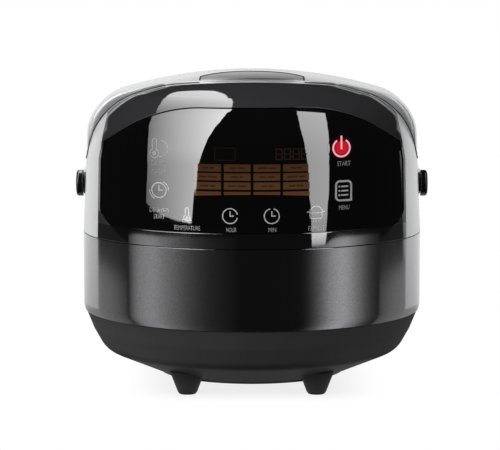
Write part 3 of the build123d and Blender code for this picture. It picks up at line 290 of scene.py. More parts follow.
@dataclass(frozen=True)
class Finish:
    """Finish that a surface can have; each kind of it adds its own detail."""

    name: str
    colour: Colour
    roughness: float
    metallic: float = 0.0
    ior: float = 1.45
    coat: float = 0.0
    coat_roughness: float = 0.05
    edge: float = 0.35 * MM
    # Reach, step and darkest share of the painted shade that darkens the colour in narrow gaps between parts.
    seam: float = 1.5 * MM
    seam_shade_open: tuple[float, float] = (0.15, 0.6)
    seam_shade: float = 0.03
    samples: int = 8

    def material(self) -> bpy.types.Material:
        """Material of this finish, made the first time it is asked for.

        Returns:
            The material.
        """
        known = bpy.data.materials.get(self.name)
        if known is not None:
            return known
        made = bpy.data.materials.new(self.name)
        made.use_nodes = True
        self.detail(Surface(made.node_tree, {
            "Base Color": opaque(self.colour), "Roughness": self.roughness, "Metallic": self.metallic,
            "IOR": self.ior, "Coat Weight": self.coat, "Coat Roughness": self.coat_roughness}))
        return made

    def detail(self, surface: Surface) -> None:
        """Add what varies over the surface.

        Args:
            surface: Node tree to add it to.
        """
        raise NotImplementedError

    def painted_seam_shade(self, surface: Surface, colour: Shade) -> Shade:
        """Colour with painted shade: darker where ambient occlusion finds narrow gaps.

        Args:
            surface: Node tree of the material.
            colour: Colour of the open surface.

        Returns:
            The colour with the painted shade of the gaps in it.
        """
        # Painted shade: ambient occlusion darkens the colour in narrow gaps.
        around = surface.shade("ShaderNodeAmbientOcclusion", {"samples": self.samples},
                               {"Distance": self.seam}, "AO")
        return surface.mix(around.step(*self.seam_shade_open), opaque(self.colour, self.seam_shade), colour)

    def rounding(self, surface: Surface) -> Number:
        """Radius that edges seem to have."""
        return self.edge

    def relief(self, surface: Surface, height: Shade, depth: float) -> Shade:
        """Surface direction with rounded edges and a fine relief.

        Args:
            surface: Node tree of the material.
            height: Relief from 0 to 1.
            depth: Height of the relief in metres.

        Returns:
            The surface direction.
        """
        rounded = surface.shade("ShaderNodeBevel", {"samples": self.samples},
                                {"Radius": self.rounding(surface)})
        return surface.shade("ShaderNodeBump", {}, {"Strength": 1.0, "Distance": depth, "Height": height,
                                                    "Normal": rounded})


@dataclass(frozen=True)
class FlakeLacquer(Finish):
    """Lacquer with fine metal flakes under a clear coat."""

    flake: float = 0.45 * MM
    sparkle: float = 0.10
    cloud: float = 30 * MM
    peel: float = 2.5 * MM
    peel_depth: float = 0.012 * MM

    def flecked(self, surface: Surface, flakes: Shade, colour: Colour) -> Shade:
        """Colour that is a little darker or lighter from flake to flake."""
        return surface.mix(flakes, opaque(colour, 1 - self.sparkle), opaque(colour, 1 + self.sparkle))

    def detail(self, surface: Surface) -> None:
        """Add flakes, slow clouding of the gloss and a faint orange peel.

        Args:
            surface: Node tree to add it to.
        """
        flakes = surface.cells(self.flake)
        cloud = surface.noise(self.cloud)
        surface.feed({
            # The base colour carries painted shade in narrow gaps.
            "Base Color": self.painted_seam_shade(surface, self.flecked(surface, flakes, self.colour)),
            "Roughness": self.roughness - 0.03 + 0.14 * self.sparkle * flakes + 0.04 * cloud,
            "Normal": self.relief(surface, surface.noise(self.peel), self.peel_depth)})


@dataclass(frozen=True)
class LidLacquer(FlakeLacquer):
    """Lacquer of the lid, whose front edge rolls over at the shoulders."""

    roll: float = 6.0 * MM
    roll_x: tuple[float, float] = (80 * MM, 108 * MM)
    roll_y: tuple[float, float] = (-65 * MM, -55 * MM)
    roll_z: tuple[float, float] = (206 * MM, 222 * MM)

    def rounding(self, surface: Surface) -> Number:
        """Radius of the edges, large where the lid's front edge crosses a shoulder.

        Args:
            surface: Node tree of the material.

        Returns:
            The radius in metres.
        """
        across, along, height = surface.axes(surface.place)
        side = across.math("ABSOLUTE", across).step(*self.roll_x)
        front = 1 - along.step(*self.roll_y)
        return self.edge + self.roll * side * front * height.step(*self.roll_z)


@dataclass(frozen=True)
class PanelLacquer(FlakeLacquer):
    """Charcoal gloss on the arch over the window, graphite flakes on the strip under it."""

    sill: Colour = (0.34, 0.34, 0.35)
    sill_z: tuple[float, float] = (149.0 * MM, 149.4 * MM)
    cloud: float = 12 * MM
    peel: float = 3 * MM

    def detail(self, surface: Surface) -> None:
        """Add the change of finish at the window's sill, flakes and a faint orange peel.

        Args:
            surface: Node tree to add it to.
        """
        arch = surface.axes(surface.place)[2].step(*self.sill_z)
        strip = self.flecked(surface, surface.cells(self.flake), self.sill)
        surface.feed({
            # The base colour carries painted shade in narrow gaps.
            "Base Color": self.painted_seam_shade(surface, surface.mix(arch, strip, opaque(self.colour))),
            "Metallic": 1 - arch,
            "Roughness": self.roughness - 0.01 + 0.02 * surface.noise(self.cloud),
            "Normal": self.relief(surface, surface.noise(self.peel), self.peel_depth)})


@dataclass(frozen=True)
class GrainedPlastic(Finish):
    """Moulded plastic with a fine spark-eroded grain, whose colour can be darkened below a height as painted
    shade.
    """

    grain: float = 0.9 * MM
    depth: float = 0.05 * MM
    mottle: float = 0.16
    patch: float = 22 * MM
    # Share of the colour kept below turn_z: painted shade where less light falls.
    underside_shade: float = 1.0
    turn_z: tuple[float, float] = (30 * MM, 38 * MM)

    def detail(self, surface: Surface) -> None:
        """Add the grain, a faint mottling of the colour and of the gloss, and painted shade below turn_z.

        Args:
            surface: Node tree to add it to.
        """
        grain = surface.noise(self.grain, 4.0)
        mottle = surface.noise(self.patch, 3.0)
        # Painted shade: the colour darkens below turn_z, where less light falls.
        above = surface.axes(surface.place)[2].step(*self.turn_z)
        shade = (self.underside_shade + (1 - self.underside_shade) * above) * (1 + self.mottle * (2 * mottle - 1))
        surface.feed({
            "Base Color": surface.mix(shade, opaque(self.colour, 0.0), opaque(self.colour)),
            "Roughness": self.roughness - 0.08 + 0.10 * grain + 0.06 * mottle,
            "Normal": self.relief(surface, grain, self.depth)})


@dataclass(frozen=True)
class PolishedPlastic(Finish):
    """Polished plastic or lens with the faintest wiping marks in its gloss."""

    smear: float = 0.03
    wipe: float = 14 * MM
    wave: float = 6 * MM
    wave_depth: float = 0.0006 * MM

    def detail(self, surface: Surface) -> None:
        """Add wiping marks and rounded edges."""
        wiped = surface.noise(self.wipe, 3.0, (1.0, 1.0, 4.0))
        surface.feed({
            "Roughness": self.roughness + self.smear * wiped.step(0.45, 0.8),
            "Normal": self.relief(surface, surface.noise(self.wave), self.wave_depth)})


@dataclass(frozen=True)
class TurnedMetal(Finish):
    """Metal with fine rings about the pot's axis, as spinning or turning leaves them."""

    ring: float = 0.7 * MM
    depth: float = 0.010 * MM
    axis_y: float = 15 * MM
    speckle: float = 0.0
    dot: float = 1.1 * MM
    dot_colour: Colour = (0.5, 0.5, 0.5)
    cloud: float = 25 * MM

    def detail(self, surface: Surface) -> None:
        """Add rings, speckles of the coating and a slow clouding.

        Args:
            surface: Node tree to add it to.
        """
        along, back, height = surface.axes(surface.place)
        back = back - self.axis_y
        radius = (along * along + back * back) ** 0.5
        rings = surface.shade("ShaderNodeTexNoise", {"noise_dimensions": "1D"},
                              {"W": (radius + height) / self.ring, "Scale": 1.0, "Detail": 2.0})
        dots = surface.cells(self.dot).step(0.86, 0.9)
        colour = surface.mix(rings, opaque(self.colour, 0.86), opaque(self.colour, 1.14))
        surface.feed({
            "Base Color": surface.mix(dots * self.speckle, colour, opaque(self.dot_colour)),
            "Roughness": self.roughness - 0.05 + 0.10 * rings + 0.04 * surface.noise(self.cloud),
            "Normal": self.relief(surface, rings, self.depth)})


@dataclass(frozen=True)
class RolledSteel(Finish):
    """Plain rolled steel with lines along X."""

    line: float = 0.35 * MM
    depth: float = 0.008 * MM

    def detail(self, surface: Surface) -> None:
        """Add rolling lines to colour, gloss and relief."""
        lines = surface.noise(self.line, 3.0, (0.04, 1.0, 1.0))
        surface.feed({
            "Base Color": surface.mix(lines, opaque(self.colour, 0.8), opaque(self.colour, 1.1)),
            "Roughness": self.roughness - 0.06 + 0.14 * lines,
            "Normal": self.relief(surface, lines, self.depth)})


@dataclass(frozen=True)
class MouldedRubber(Finish):
    """Rubber or silicone with a dull skin and some bloom."""

    bloom: Colour = (0.06, 0.06, 0.06)
    bloom_share: float = 0.35
    patch: float = 7 * MM
    pore: float = 0.6 * MM
    depth: float = 0.03 * MM

    def detail(self, surface: Surface) -> None:
        """Add fine pores and patches of bloom.

        Args:
            surface: Node tree to add it to.
        """
        pores = surface.noise(self.pore, 3.0)
        patch = surface.noise(self.patch, 4.0).step(0.48, 0.75)
        surface.feed({
            "Base Color": surface.mix(patch * self.bloom_share, opaque(self.colour), opaque(self.bloom)),
            "Roughness": self.roughness - 0.06 + 0.12 * pores,
            "Normal": self.relief(surface, pores, self.depth)})


@dataclass(frozen=True)
class CircuitLacquer(Finish):
    """Solder lacquer over the copper tracks of a circuit board."""

    track: float = 2.4 * MM
    mortar: float = 0.05
    point: float = 2.0 * MM
    solder: Colour = (0.6, 0.6, 0.58)

    def detail(self, surface: Surface) -> None:
        """Add tracks that show through the lacquer and bright solder points.

        Args:
            surface: Node tree to add it to.
        """
        bricks = {"Vector": surface.stretched((1.0, 0.0, 1.0)), "Scale": 1 / self.track,
                  "Mortar Size": self.mortar}
        tracks = surface.shade("ShaderNodeTexBrick", {}, bricks, "Fac")
        points = surface.cells(self.point).step(0.9, 0.92)
        green = surface.mix(tracks, opaque(self.colour), opaque(self.colour, 1.7))
        surface.feed({
            "Base Color": surface.mix(points, green, opaque(self.solder)),
            "Roughness": self.roughness - 0.12 * points + 0.1 * tracks,
            "Metallic": points})


@dataclass(frozen=True)
class Print(Finish):
    """Ink printed on a smooth face."""

    screen: float = 0.5 * MM

    def detail(self, surface: Surface) -> None:
        """Add the slight unevenness of a screen print."""
        ink = surface.noise(self.screen, 3.0)
        surface.feed({
            "Base Color": surface.mix(ink, opaque(self.colour, 0.85), opaque(self.colour, 1.1))})


@dataclass(frozen=True)
class Lamp(Finish):
    """Lit part of the panel: a glow that is uneven as a diffuser makes it."""

    glow: Colour = (1.0, 1.0, 1.0)
    spread: float = 5 * MM

    def detail(self, surface: Surface) -> None:
        """Add the uneven glow."""
        self.shine(surface, surface.noise(self.spread, 3.0), 0.75, 1.25)

    def shine(self, surface: Surface, share: Shade, dim: float = 0.0, bright: float = 1.0) -> None:
        """Feed the glow.

        Args:
            surface: Node tree of the material.
            share: Where the glow lies between the dim and the bright one.
            dim: Share of the full glow where it is dim.
            bright: Share of the full glow where it is bright.
        """
        surface.shader.inputs["Emission Strength"].default_value = 1.0
        surface.feed({
            "Emission Color": surface.mix(share, opaque(self.glow, dim), opaque(self.glow, bright))})


@dataclass(frozen=True)
class RowLamp(Lamp):
    """Lit cells of the display, warmer and brighter towards the lower rows."""

    top_z: float = 208 * MM
    low_z: float = 178 * MM
    top_share: float = 0.55

    def detail(self, surface: Surface) -> None:
        """Add the glow that grows from row to row.

        Args:
            surface: Node tree to add it to.
        """
        lower = (self.top_z - surface.axes(surface.place)[2]) / (self.top_z - self.low_z)
        cloud = surface.noise(self.spread, 3.0)
        share = self.top_share + (1 - self.top_share) * lower + 0.2 * (cloud - 0.5)
        self.shine(surface, share)


@dataclass(frozen=True)
class HaloLamp(Lamp):
    """Round lamp behind the window with a halo that fades into the black."""

    centre: Flat = (0.0, 0.0)
    core: tuple[float, float] = (4.7 * MM, 6.2 * MM)
    halo: tuple[float, float] = (5.2 * MM, 11.5 * MM)
    halo_share: float = 0.16

    def detail(self, surface: Surface) -> None:
        """Add the lit core and its halo.

        Args:
            surface: Node tree to add it to.
        """
        across, _, up = surface.axes(surface.place)
        across, up = across - self.centre[0], up - self.centre[1]
        radius = (across * across + up * up) ** 0.5
        core, halo = 1 - radius.step(*self.core), 1 - radius.step(*self.halo)
        self.shine(surface, core * (1 - self.halo_share) + halo * halo * self.halo_share)


LENS_IOR = 2.2
START_KEY: Flat = (75.0 * MM, 218.2 * MM)
SILVER_LOOK = {"colour": (0.70, 0.705, 0.715), "roughness": 0.27, "metallic": 0.45, "coat": 0.15,
               "sparkle": 0.01, "peel_depth": 0.0005 * MM}
SILVER = FlakeLacquer("silver_lacquer", **SILVER_LOOK)
LID_SILVER = LidLacquer("lid_lacquer", **SILVER_LOOK)
GRAPHITE = FlakeLacquer("graphite_lacquer", (0.36, 0.36, 0.37), 0.10, metallic=1.0, sparkle=0.16,
                        peel_depth=0.0015 * MM)
CHARCOAL = PanelLacquer("charcoal_lacquer", (0.032, 0.032, 0.034), 0.035, ior=1.8, peel_depth=0.0005 * MM)
LENS = PolishedPlastic("black_lens", (0.0015, 0.0015, 0.0018), 0.015, ior=LENS_IOR, smear=0.012)
SMOKE = FlakeLacquer("smoke_lacquer", (0.22, 0.22, 0.225), 0.30, metallic=0.8, coat=0.2, sparkle=0.06,
                     peel_depth=0.002 * MM)
# The base's colour darkens below turn_z as painted shade.
BASE = GrainedPlastic("grained_base", (0.088, 0.088, 0.089), 0.6, ior=1.12, underside_shade=0.34)
BLACK = GrainedPlastic("black_moulding", (0.020, 0.020, 0.021), 0.48, grain=0.7 * MM)
GREY = GrainedPlastic("grey_moulding", (0.30, 0.30, 0.31), 0.45, grain=1.1 * MM, mottle=0.08)
KNOB = PolishedPlastic("knob_gloss", (0.007, 0.007, 0.007), 0.10, ior=1.55, coat=0.4)
FOOT = MouldedRubber("foot_rubber", (0.007, 0.007, 0.007), 0.55, ior=1.25, bloom=(0.02, 0.02, 0.02))
# Dark rubber of the lid's beads; along the lid's edge it is painted shade, the seam's shadow line.
SEAL = MouldedRubber("dark_bead_rubber", (0.006, 0.006, 0.006), 0.6, ior=1.25, bloom=(0.012, 0.012, 0.012))
SILICONE = MouldedRubber("silicone_skin", (0.72, 0.72, 0.70), 0.45, bloom=(0.8, 0.8, 0.8))
GRIP = GrainedPlastic("grip_skin", (0.018, 0.018, 0.019), 0.55, grain=0.6 * MM, depth=0.08 * MM)
STEEL = RolledSteel("rolled_steel", (0.55, 0.55, 0.56), 0.34, metallic=1.0)
ALUMINIUM = TurnedMetal("turned_aluminium", (0.68, 0.68, 0.69), 0.30, metallic=1.0)
COATING = TurnedMetal("pot_coating", (0.055, 0.055, 0.057), 0.35, metallic=0.2, depth=0.006 * MM, speckle=0.3)
BRASS = RolledSteel("plated_brass", (0.72, 0.58, 0.32), 0.28, metallic=1.0)
BOARD = CircuitLacquer("board_lacquer", (0.02, 0.13, 0.05), 0.4)
INK = Print("panel_ink", (0.80, 0.80, 0.80), 0.02, ior=LENS_IOR)
WORD_INK = Print("panel_word_ink", (0.55, 0.55, 0.55), 0.02, ior=LENS_IOR)
FAINT_INK = Print("panel_faint_ink", (0.19, 0.19, 0.19), 0.02, ior=LENS_IOR)
POT_INK = Print("pot_mark_ink", (0.55, 0.55, 0.54), 0.4)
CELL = RowLamp("display_cell", (0.004, 0.003, 0.002), 0.03, ior=LENS_IOR, glow=(0.080, 0.032, 0.013))
CELL_WORD = RowLamp("display_cell_word", (0.002, 0.002, 0.002), 0.03, ior=LENS_IOR,
                    glow=(0.034, 0.015, 0.007))
DIGIT = Lamp("display_digit", (0.004, 0.003, 0.002), 0.03, ior=LENS_IOR, glow=(0.016, 0.0075, 0.0035))
RED = HaloLamp("start_glow", (0.002, 0.0015, 0.0015), 0.02, ior=LENS_IOR, glow=(0.56, 0.008, 0.020),
               centre=START_KEY)
PINK = Lamp("start_mark", (0.4, 0.2, 0.2), 0.2, glow=(0.72, 0.30, 0.38))


def mesh_of(made: bmesh.types.BMesh, name: str) -> bpy.types.Mesh:
    """Mesh of a form that is done, which is freed.

    Args:
        made: Form that is done.
        name: Name of the mesh.

    Returns:
        The mesh.
    """
    mesh = bpy.data.meshes.new(name)
    made.to_mesh(mesh)
    made.free()
    return mesh


def closed(made: bmesh.types.BMesh, name: str) -> bpy.types.Mesh:
    """Mesh of a closed form, with its faces looking outward."""
    bmesh.ops.recalc_face_normals(made, faces=made.faces)
    return mesh_of(made, name)


def spaced(first: float, last: float, count: int) -> list[float]:
    """Values at a number of even steps from the first to the last, with both of them."""
    return [first + (last - first) * step / count for step in range(count + 1)]


def circle(count: int) -> list[Flat]:
    """Cosine and sine of even steps round a circle."""
    return [(math.cos(turn), math.sin(turn)) for turn in spaced(0.0, 2 * math.pi, count)[:-1]]


def skin(made: bmesh.types.BMesh, rows: Sequence[Sequence[bmesh.types.BMVert]]) -> None:
    """Add smooth faces between rows of corners that each run round a closed loop.

    Args:
        made: Mesh that holds the corners.
        rows: The loops, of the same count.
    """
    for first, second in zip(rows, rows[1:]):
        loop = list(zip(first, second))
        for (here, above), (after, above_after) in zip(loop, loop[1:] + loop[:1]):
            made.faces.new((here, after, above_after, above)).smooth = True


class Assembly:
    """A group of pieces that are built and dressed together."""

    def dress(self, finish: Finish, *nodes: str) -> None:
        """Give nodes of the frame a finish.

        Args:
            finish: Finish to put on.
            nodes: Names of the nodes.
        """
        for name in nodes:
            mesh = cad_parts[name].data
            mesh.materials.clear()
            mesh.materials.append(finish.material())
            LOG.info("dressed %s in %s", name, finish.name)

    def add(self, name: str, mesh: bpy.types.Mesh, finish: Finish, body: Body,
            slot: Slot) -> bpy.types.Object:
        """Add a new piece to the part.

        Args:
            name: Name of the piece.
            mesh: Its mesh, in the frame's own metres.
            finish: Its finish.
            body: Body that it moves with.
            slot: Not used.

        Returns:
            The piece.
        """
        mesh.materials.append(finish.material())
        piece = bpy.data.objects.new(name, mesh)
        bpy.context.scene.collection.objects.link(piece)
        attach(piece, body.value)
        LOG.info("added %s on %s", name, body.value)
        return piece

    def add_springs(self, node: str, joint: str, body: Body) -> None:
        """Stand a copy of a node's coils in its place, riding on a body, and hide the node.

        Args:
            node: Name of the node.
            joint: Not used.
            body: Body that the lower end moves with.
        """
        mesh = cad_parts[node].data.copy()
        mesh.materials.clear()
        coils = self.add(f"{node}_coils", mesh, STEEL, body, Slot.STEEL)
        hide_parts(node)
        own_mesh(coils)


@dataclass(frozen=True)
class BodyForm:
    """Outside of the body: a wall that leans in, a round shoulder and a crown, drawn out between two axes."""

    front_y: float = -47 * MM
    rear_y: float = 15 * MM
    foot_radius: float = 150 * MM
    foot_z: float = 135 * MM
    lean: float = 0.04455
    turn_z: float = 204.1 * MM
    shoulder_radius: float = 60 * MM
    shoulder_in: float = 86.98 * MM
    shoulder_z: float = 201.45 * MM
    crown_reach: float = 105.62 * MM
    crown_radius: float = 340 * MM
    crown_z: float = -64.7 * MM
    bead_sides: int = 10

    def reach(self, z: float, lift: float = 0.0) -> float:
        """Radius of the wall or the shoulder.

        Args:
            z: Height.
            lift: Distance outside the face.

        Returns:
            The radius about the nearer axis.
        """
        if z < self.turn_z:
            return self.foot_radius - (z - self.foot_z) * self.lean + lift
        return self.shoulder_in + math.sqrt((self.shoulder_radius + lift) ** 2 - (z - self.shoulder_z) ** 2)

    def top(self, radius: float) -> float:
        """Height of the crown or the shoulder at a radius about the nearer axis.

        Args:
            radius: The radius.

        Returns:
            The height.
        """
        if radius < self.crown_reach:
            return self.crown_z + math.sqrt(self.crown_radius ** 2 - radius ** 2)
        return self.shoulder_z + math.sqrt(self.shoulder_radius ** 2 - (radius - self.shoulder_in) ** 2)

    def outward(self, spot: Vector) -> Vector:
        """Direction out of the face at a place on it.

        Args:
            spot: Place on the face.

        Returns:
            The direction, of length 1.
        """
        axis_y = min(max(spot.y, self.front_y), self.rear_y)
        away = Vector((spot.x, spot.y - axis_y, 0.0))
        if away.length < self.crown_reach:
            return (away + Vector((0.0, 0.0, spot.z - self.crown_z))).normalized()
        out = away.normalized()
        if spot.z < self.turn_z:
            return (out + Vector((0.0, 0.0, self.lean))).normalized()
        rise = Vector((0.0, 0.0, spot.z - self.shoulder_z))
        return (out * (away.length - self.shoulder_in) + rise).normalized()

    def bead(self, made: bmesh.types.BMesh, path: Sequence[Vector], radius: float, lift: float) -> None:
        """Add a round bead along a line on the face.

        Args:
            made: Mesh to add it to.
            path: Places along the line.
            radius: Radius of the bead.
            lift: Distance of its middle outside the face.
        """
        loops = []
        for before, here, after in zip([path[0], *path], path, [*path[1:], path[-1]]):
            way = (after - before).normalized()
            aside = way.cross(self.outward(here)).normalized()
            out = aside.cross(way)
            loops.append([made.verts.new(here + out * (lift + radius * up) + aside * radius * over)
                          for up, over in circle(self.bead_sides)])
        skin(made, loops)
        made.faces.new(loops[0])
        made.faces.new(loops[-1])


@dataclass(frozen=True)
class LidForm(BodyForm):
    """Outside of the lid, which has a flatter crown and a fuller shoulder than the hood."""

    lean: float = 0.04196
    turn_z: float = 218.4 * MM
    shoulder_radius: float = 40 * MM
    shoulder_in: float = 106.17 * MM
    shoulder_z: float = 220.1 * MM
    crown_reach: float = 117.4 * MM
    crown_radius: float = 420 * MM
    crown_z: float = -144.7 * MM


@dataclass(frozen=True)
class WindowForm(BodyForm):
    """Outer face of the control window, a little under the outside of the body."""

    sink: float = 0.7 * MM
    display_half: float = 48 * MM

    def point(self, x: float, z: float, lift: float) -> Vector:
        """Place on the face.

        Args:
            x: Distance to the right of the middle.
            z: Height.
            lift: Distance in front of the face.

        Returns:
            The place in the frame.
        """
        radius = self.reach(z, lift - self.sink)
        return Vector((x, self.front_y - math.sqrt(radius ** 2 - x ** 2), z))


class Artwork:
    """Flat outlines that are laid on a curved face."""

    reach: float = 1.5 * MM
    weld: float = 0.002 * MM
    across: int = 12
    font_share: float = 1.4
    font_steps: int = 3

    def __init__(self, form: WindowForm, lift: float) -> None:
        """Start an empty artwork.

        Args:
            form: Face that it lies on.
            lift: Distance in front of the face.
        """
        self.form = form
        self.lift = lift
        self.mesh = bmesh.new()

    def face(self, corners: Iterable[Flat]) -> None:
        """Add one face by its corners on the flat."""
        self.mesh.faces.new([self.mesh.verts.new(self.form.point(x, z, self.lift)) for x, z in corners])

    def stroke(self, points: Sequence[Flat], width: float) -> None:
        """Add a line of even width.

        Args:
            points: Places along the line.
            width: Its width.
        """
        for (x0, z0), (x1, z1) in zip(points, points[1:]):
            length = math.hypot(x1 - x0, z1 - z0)
            ux, uz = (x1 - x0) / length, (z1 - z0) / length
            half = width / 2
            pieces = math.ceil((length + width) / self.reach)
            steps = spaced(-half, length + half, pieces)
            for near, far in zip(steps, steps[1:]):
                self.face([(x0 + ux * along + uz * aside, z0 + uz * along - ux * aside)
                           for along, aside in ((near, half), (far, half), (far, -half), (near, -half))])

    def arc(self, centre: Flat, radius: float, start: float, end: float, width: float,
            steps: int = 40) -> None:
        """Add a ring or a part of one.

        Args:
            centre: Its centre.
            radius: Radius of its middle line.
            start: Angle in degrees from the right, counter-clockwise.
            end: Angle at which it ends.
            width: Width of the ring.
            steps: Number of faces.
        """
        angles = [math.radians(angle) for angle in spaced(start, end, steps)]
        inner, outer = radius - width / 2, radius + width / 2
        for first, second in zip(angles, angles[1:]):
            corners = ((first, inner), (first, outer), (second, outer), (second, inner))
            self.face([(centre[0] + reach * math.cos(angle), centre[1] + reach * math.sin(angle))
                       for angle, reach in corners])

    def disc(self, centre: Flat, radius: float) -> None:
        """Add a filled disc by its centre and radius."""
        self.arc(centre, radius / 2, 0, 360, radius)

    def plate(self, low: Flat, high: Flat, drop: float = 0.0) -> None:
        """Add a filled rectangle.

        Args:
            low: Its lower left corner.
            high: Its upper right corner.
            drop: How much higher the lower edge is in the middle of the window than at the display's side.
        """
        reach = self.form.display_half
        places = spaced(low[0], high[0], self.across)
        for left, right in zip(places, places[1:]):
            bow = [drop * (1 - (x / reach) ** 2) for x in (left, right)]
            self.face([(left, low[1] + bow[0]), (right, low[1] + bow[1]), (right, high[1]), (left, high[1])])

    def words(self, text: str, centre: Flat, height: float, narrow: float) -> None:
        """Add a plain word.

        Args:
            text: The word.
            centre: Middle of the word.
            height: Height of its capitals.
            narrow: Width of the letters as a share of their usual width.
        """
        curve = bpy.data.curves.new("word", "FONT")
        curve.body = text
        curve.align_x = "CENTER"
        curve.align_y = "CENTER"
        curve.size = height * self.font_share
        curve.resolution_u = self.font_steps
        carrier = bpy.data.objects.new("word", curve)
        flat = bpy.data.meshes.new_from_object(carrier)
        spots = [self.form.point(centre[0] + spot.co.x * narrow, centre[1] + spot.co.y, self.lift)
                 for spot in flat.vertices]
        made = [self.mesh.verts.new(spot) for spot in spots]
        for polygon in flat.polygons:
            self.mesh.faces.new([made[index] for index in polygon.vertices])
        bpy.data.objects.remove(carrier)
        bpy.data.meshes.remove(flat)
        bpy.data.curves.remove(curve)

    def done(self, name: str) -> bpy.types.Mesh:
        """Finish the artwork.

        Args:
            name: Name of the mesh.

        Returns:
            The mesh, with every face looking forward.
        """
        bmesh.ops.remove_doubles(self.mesh, verts=self.mesh.verts, dist=self.weld)
        for face in self.mesh.faces:
            face.normal_update()
            face.smooth = True
            if face.normal.y > 0:
                face.normal_flip()
        return mesh_of(self.mesh, name)


@dataclass
class Casing(Assembly):
    """Base, band, upper shell and feet."""

    screw_x: float = 77 * MM
    screw_y: tuple[float, float] = (-47 * MM, 15 * MM)
    # Height and size of the black crosses painted as the shade in the screws' cross holes.
    recess_z: float = 7.97 * MM
    recess: float = 4.2 * MM
    recess_w: float = 0.9 * MM
    foot_x: float = 56.0 * MM
    foot_y: tuple[float, float] = (-121.0 * MM, 89.0 * MM)
    foot_low: float = 1.6 * MM
    foot_turn: float = 19.5 * MM
    foot_high: float = 24.8 * MM
    foot_tip: float = 8.4 * MM
    foot_r: float = 15.3 * MM

    def build(self) -> None:
        """Dress the casing and add the painted shade in the heads of its screws and the rubber of its feet.
        """
        self.dress(BASE, "base_shell")
        self.dress(GRAPHITE, "body_band")
        self.dress(SILVER, "upper_shell")
        self.dress(BLACK, "bottom_cover", "inner_deck", "pot_collar", "board_shelf")
        self.dress(FOOT, "foot_front_left", "foot_front_right", "foot_rear_left", "foot_rear_right")
        self.dress(STEEL, "base_screws", "latch_keeper", "heat_shield", "sensor_cup")
        # Painted shade: flat black crosses stand for the shade in the screws' cross holes.
        self.add("screw_recess_shade", self.recess_shade_crosses(), BLACK, Body.CASING, Slot.STEEL)
        self.add("foot_shoulders", self.foot_shoulders(), FOOT, Body.CASING, Slot.SEAL)

    def foot_shoulders(self) -> bpy.types.Mesh:
        """Rubber of the feet, widening upwards to round tops that bulge out of the base.

        Returns:
            The mesh.
        """
        made = bmesh.new()
        around, rise = 40, 8
        profile = [(self.foot_tip, self.foot_low), (self.foot_r, self.foot_turn)]
        for turn in spaced(0.0, math.pi / 2, rise)[1:-1]:
            profile.append((self.foot_r * math.cos(turn),
                            self.foot_turn + (self.foot_high - self.foot_turn) * math.sin(turn)))
        for x, y in ((side * self.foot_x, y) for side in (-1, 1) for y in self.foot_y):
            rows = [[made.verts.new((x + reach * right, y + reach * back, z))
                     for right, back in circle(around)] for reach, z in profile]
            skin(made, rows)
            made.faces.new(rows[0])
            made.faces.new(rows[-1])
        return closed(made, "foot_shoulders")

    def recess_shade_crosses(self) -> bpy.types.Mesh:
        """Flat black cross on the head of every base screw, painted as the shade in its cross hole.

        Returns:
            The mesh.
        """
        made = bmesh.new()
        for x in (-self.screw_x, self.screw_x):
            for y in self.screw_y:
                for half_x, half_y in ((self.recess, self.recess_w), (self.recess_w, self.recess)):
                    corners = ((-half_x, -half_y), (-half_x, half_y), (half_x, half_y), (half_x, -half_y))
                    made.faces.new([made.verts.new((x + dx / 2, y + dy / 2, self.recess_z))
                                    for dx, dy in corners])
        return mesh_of(made, "screw_recess_shade")


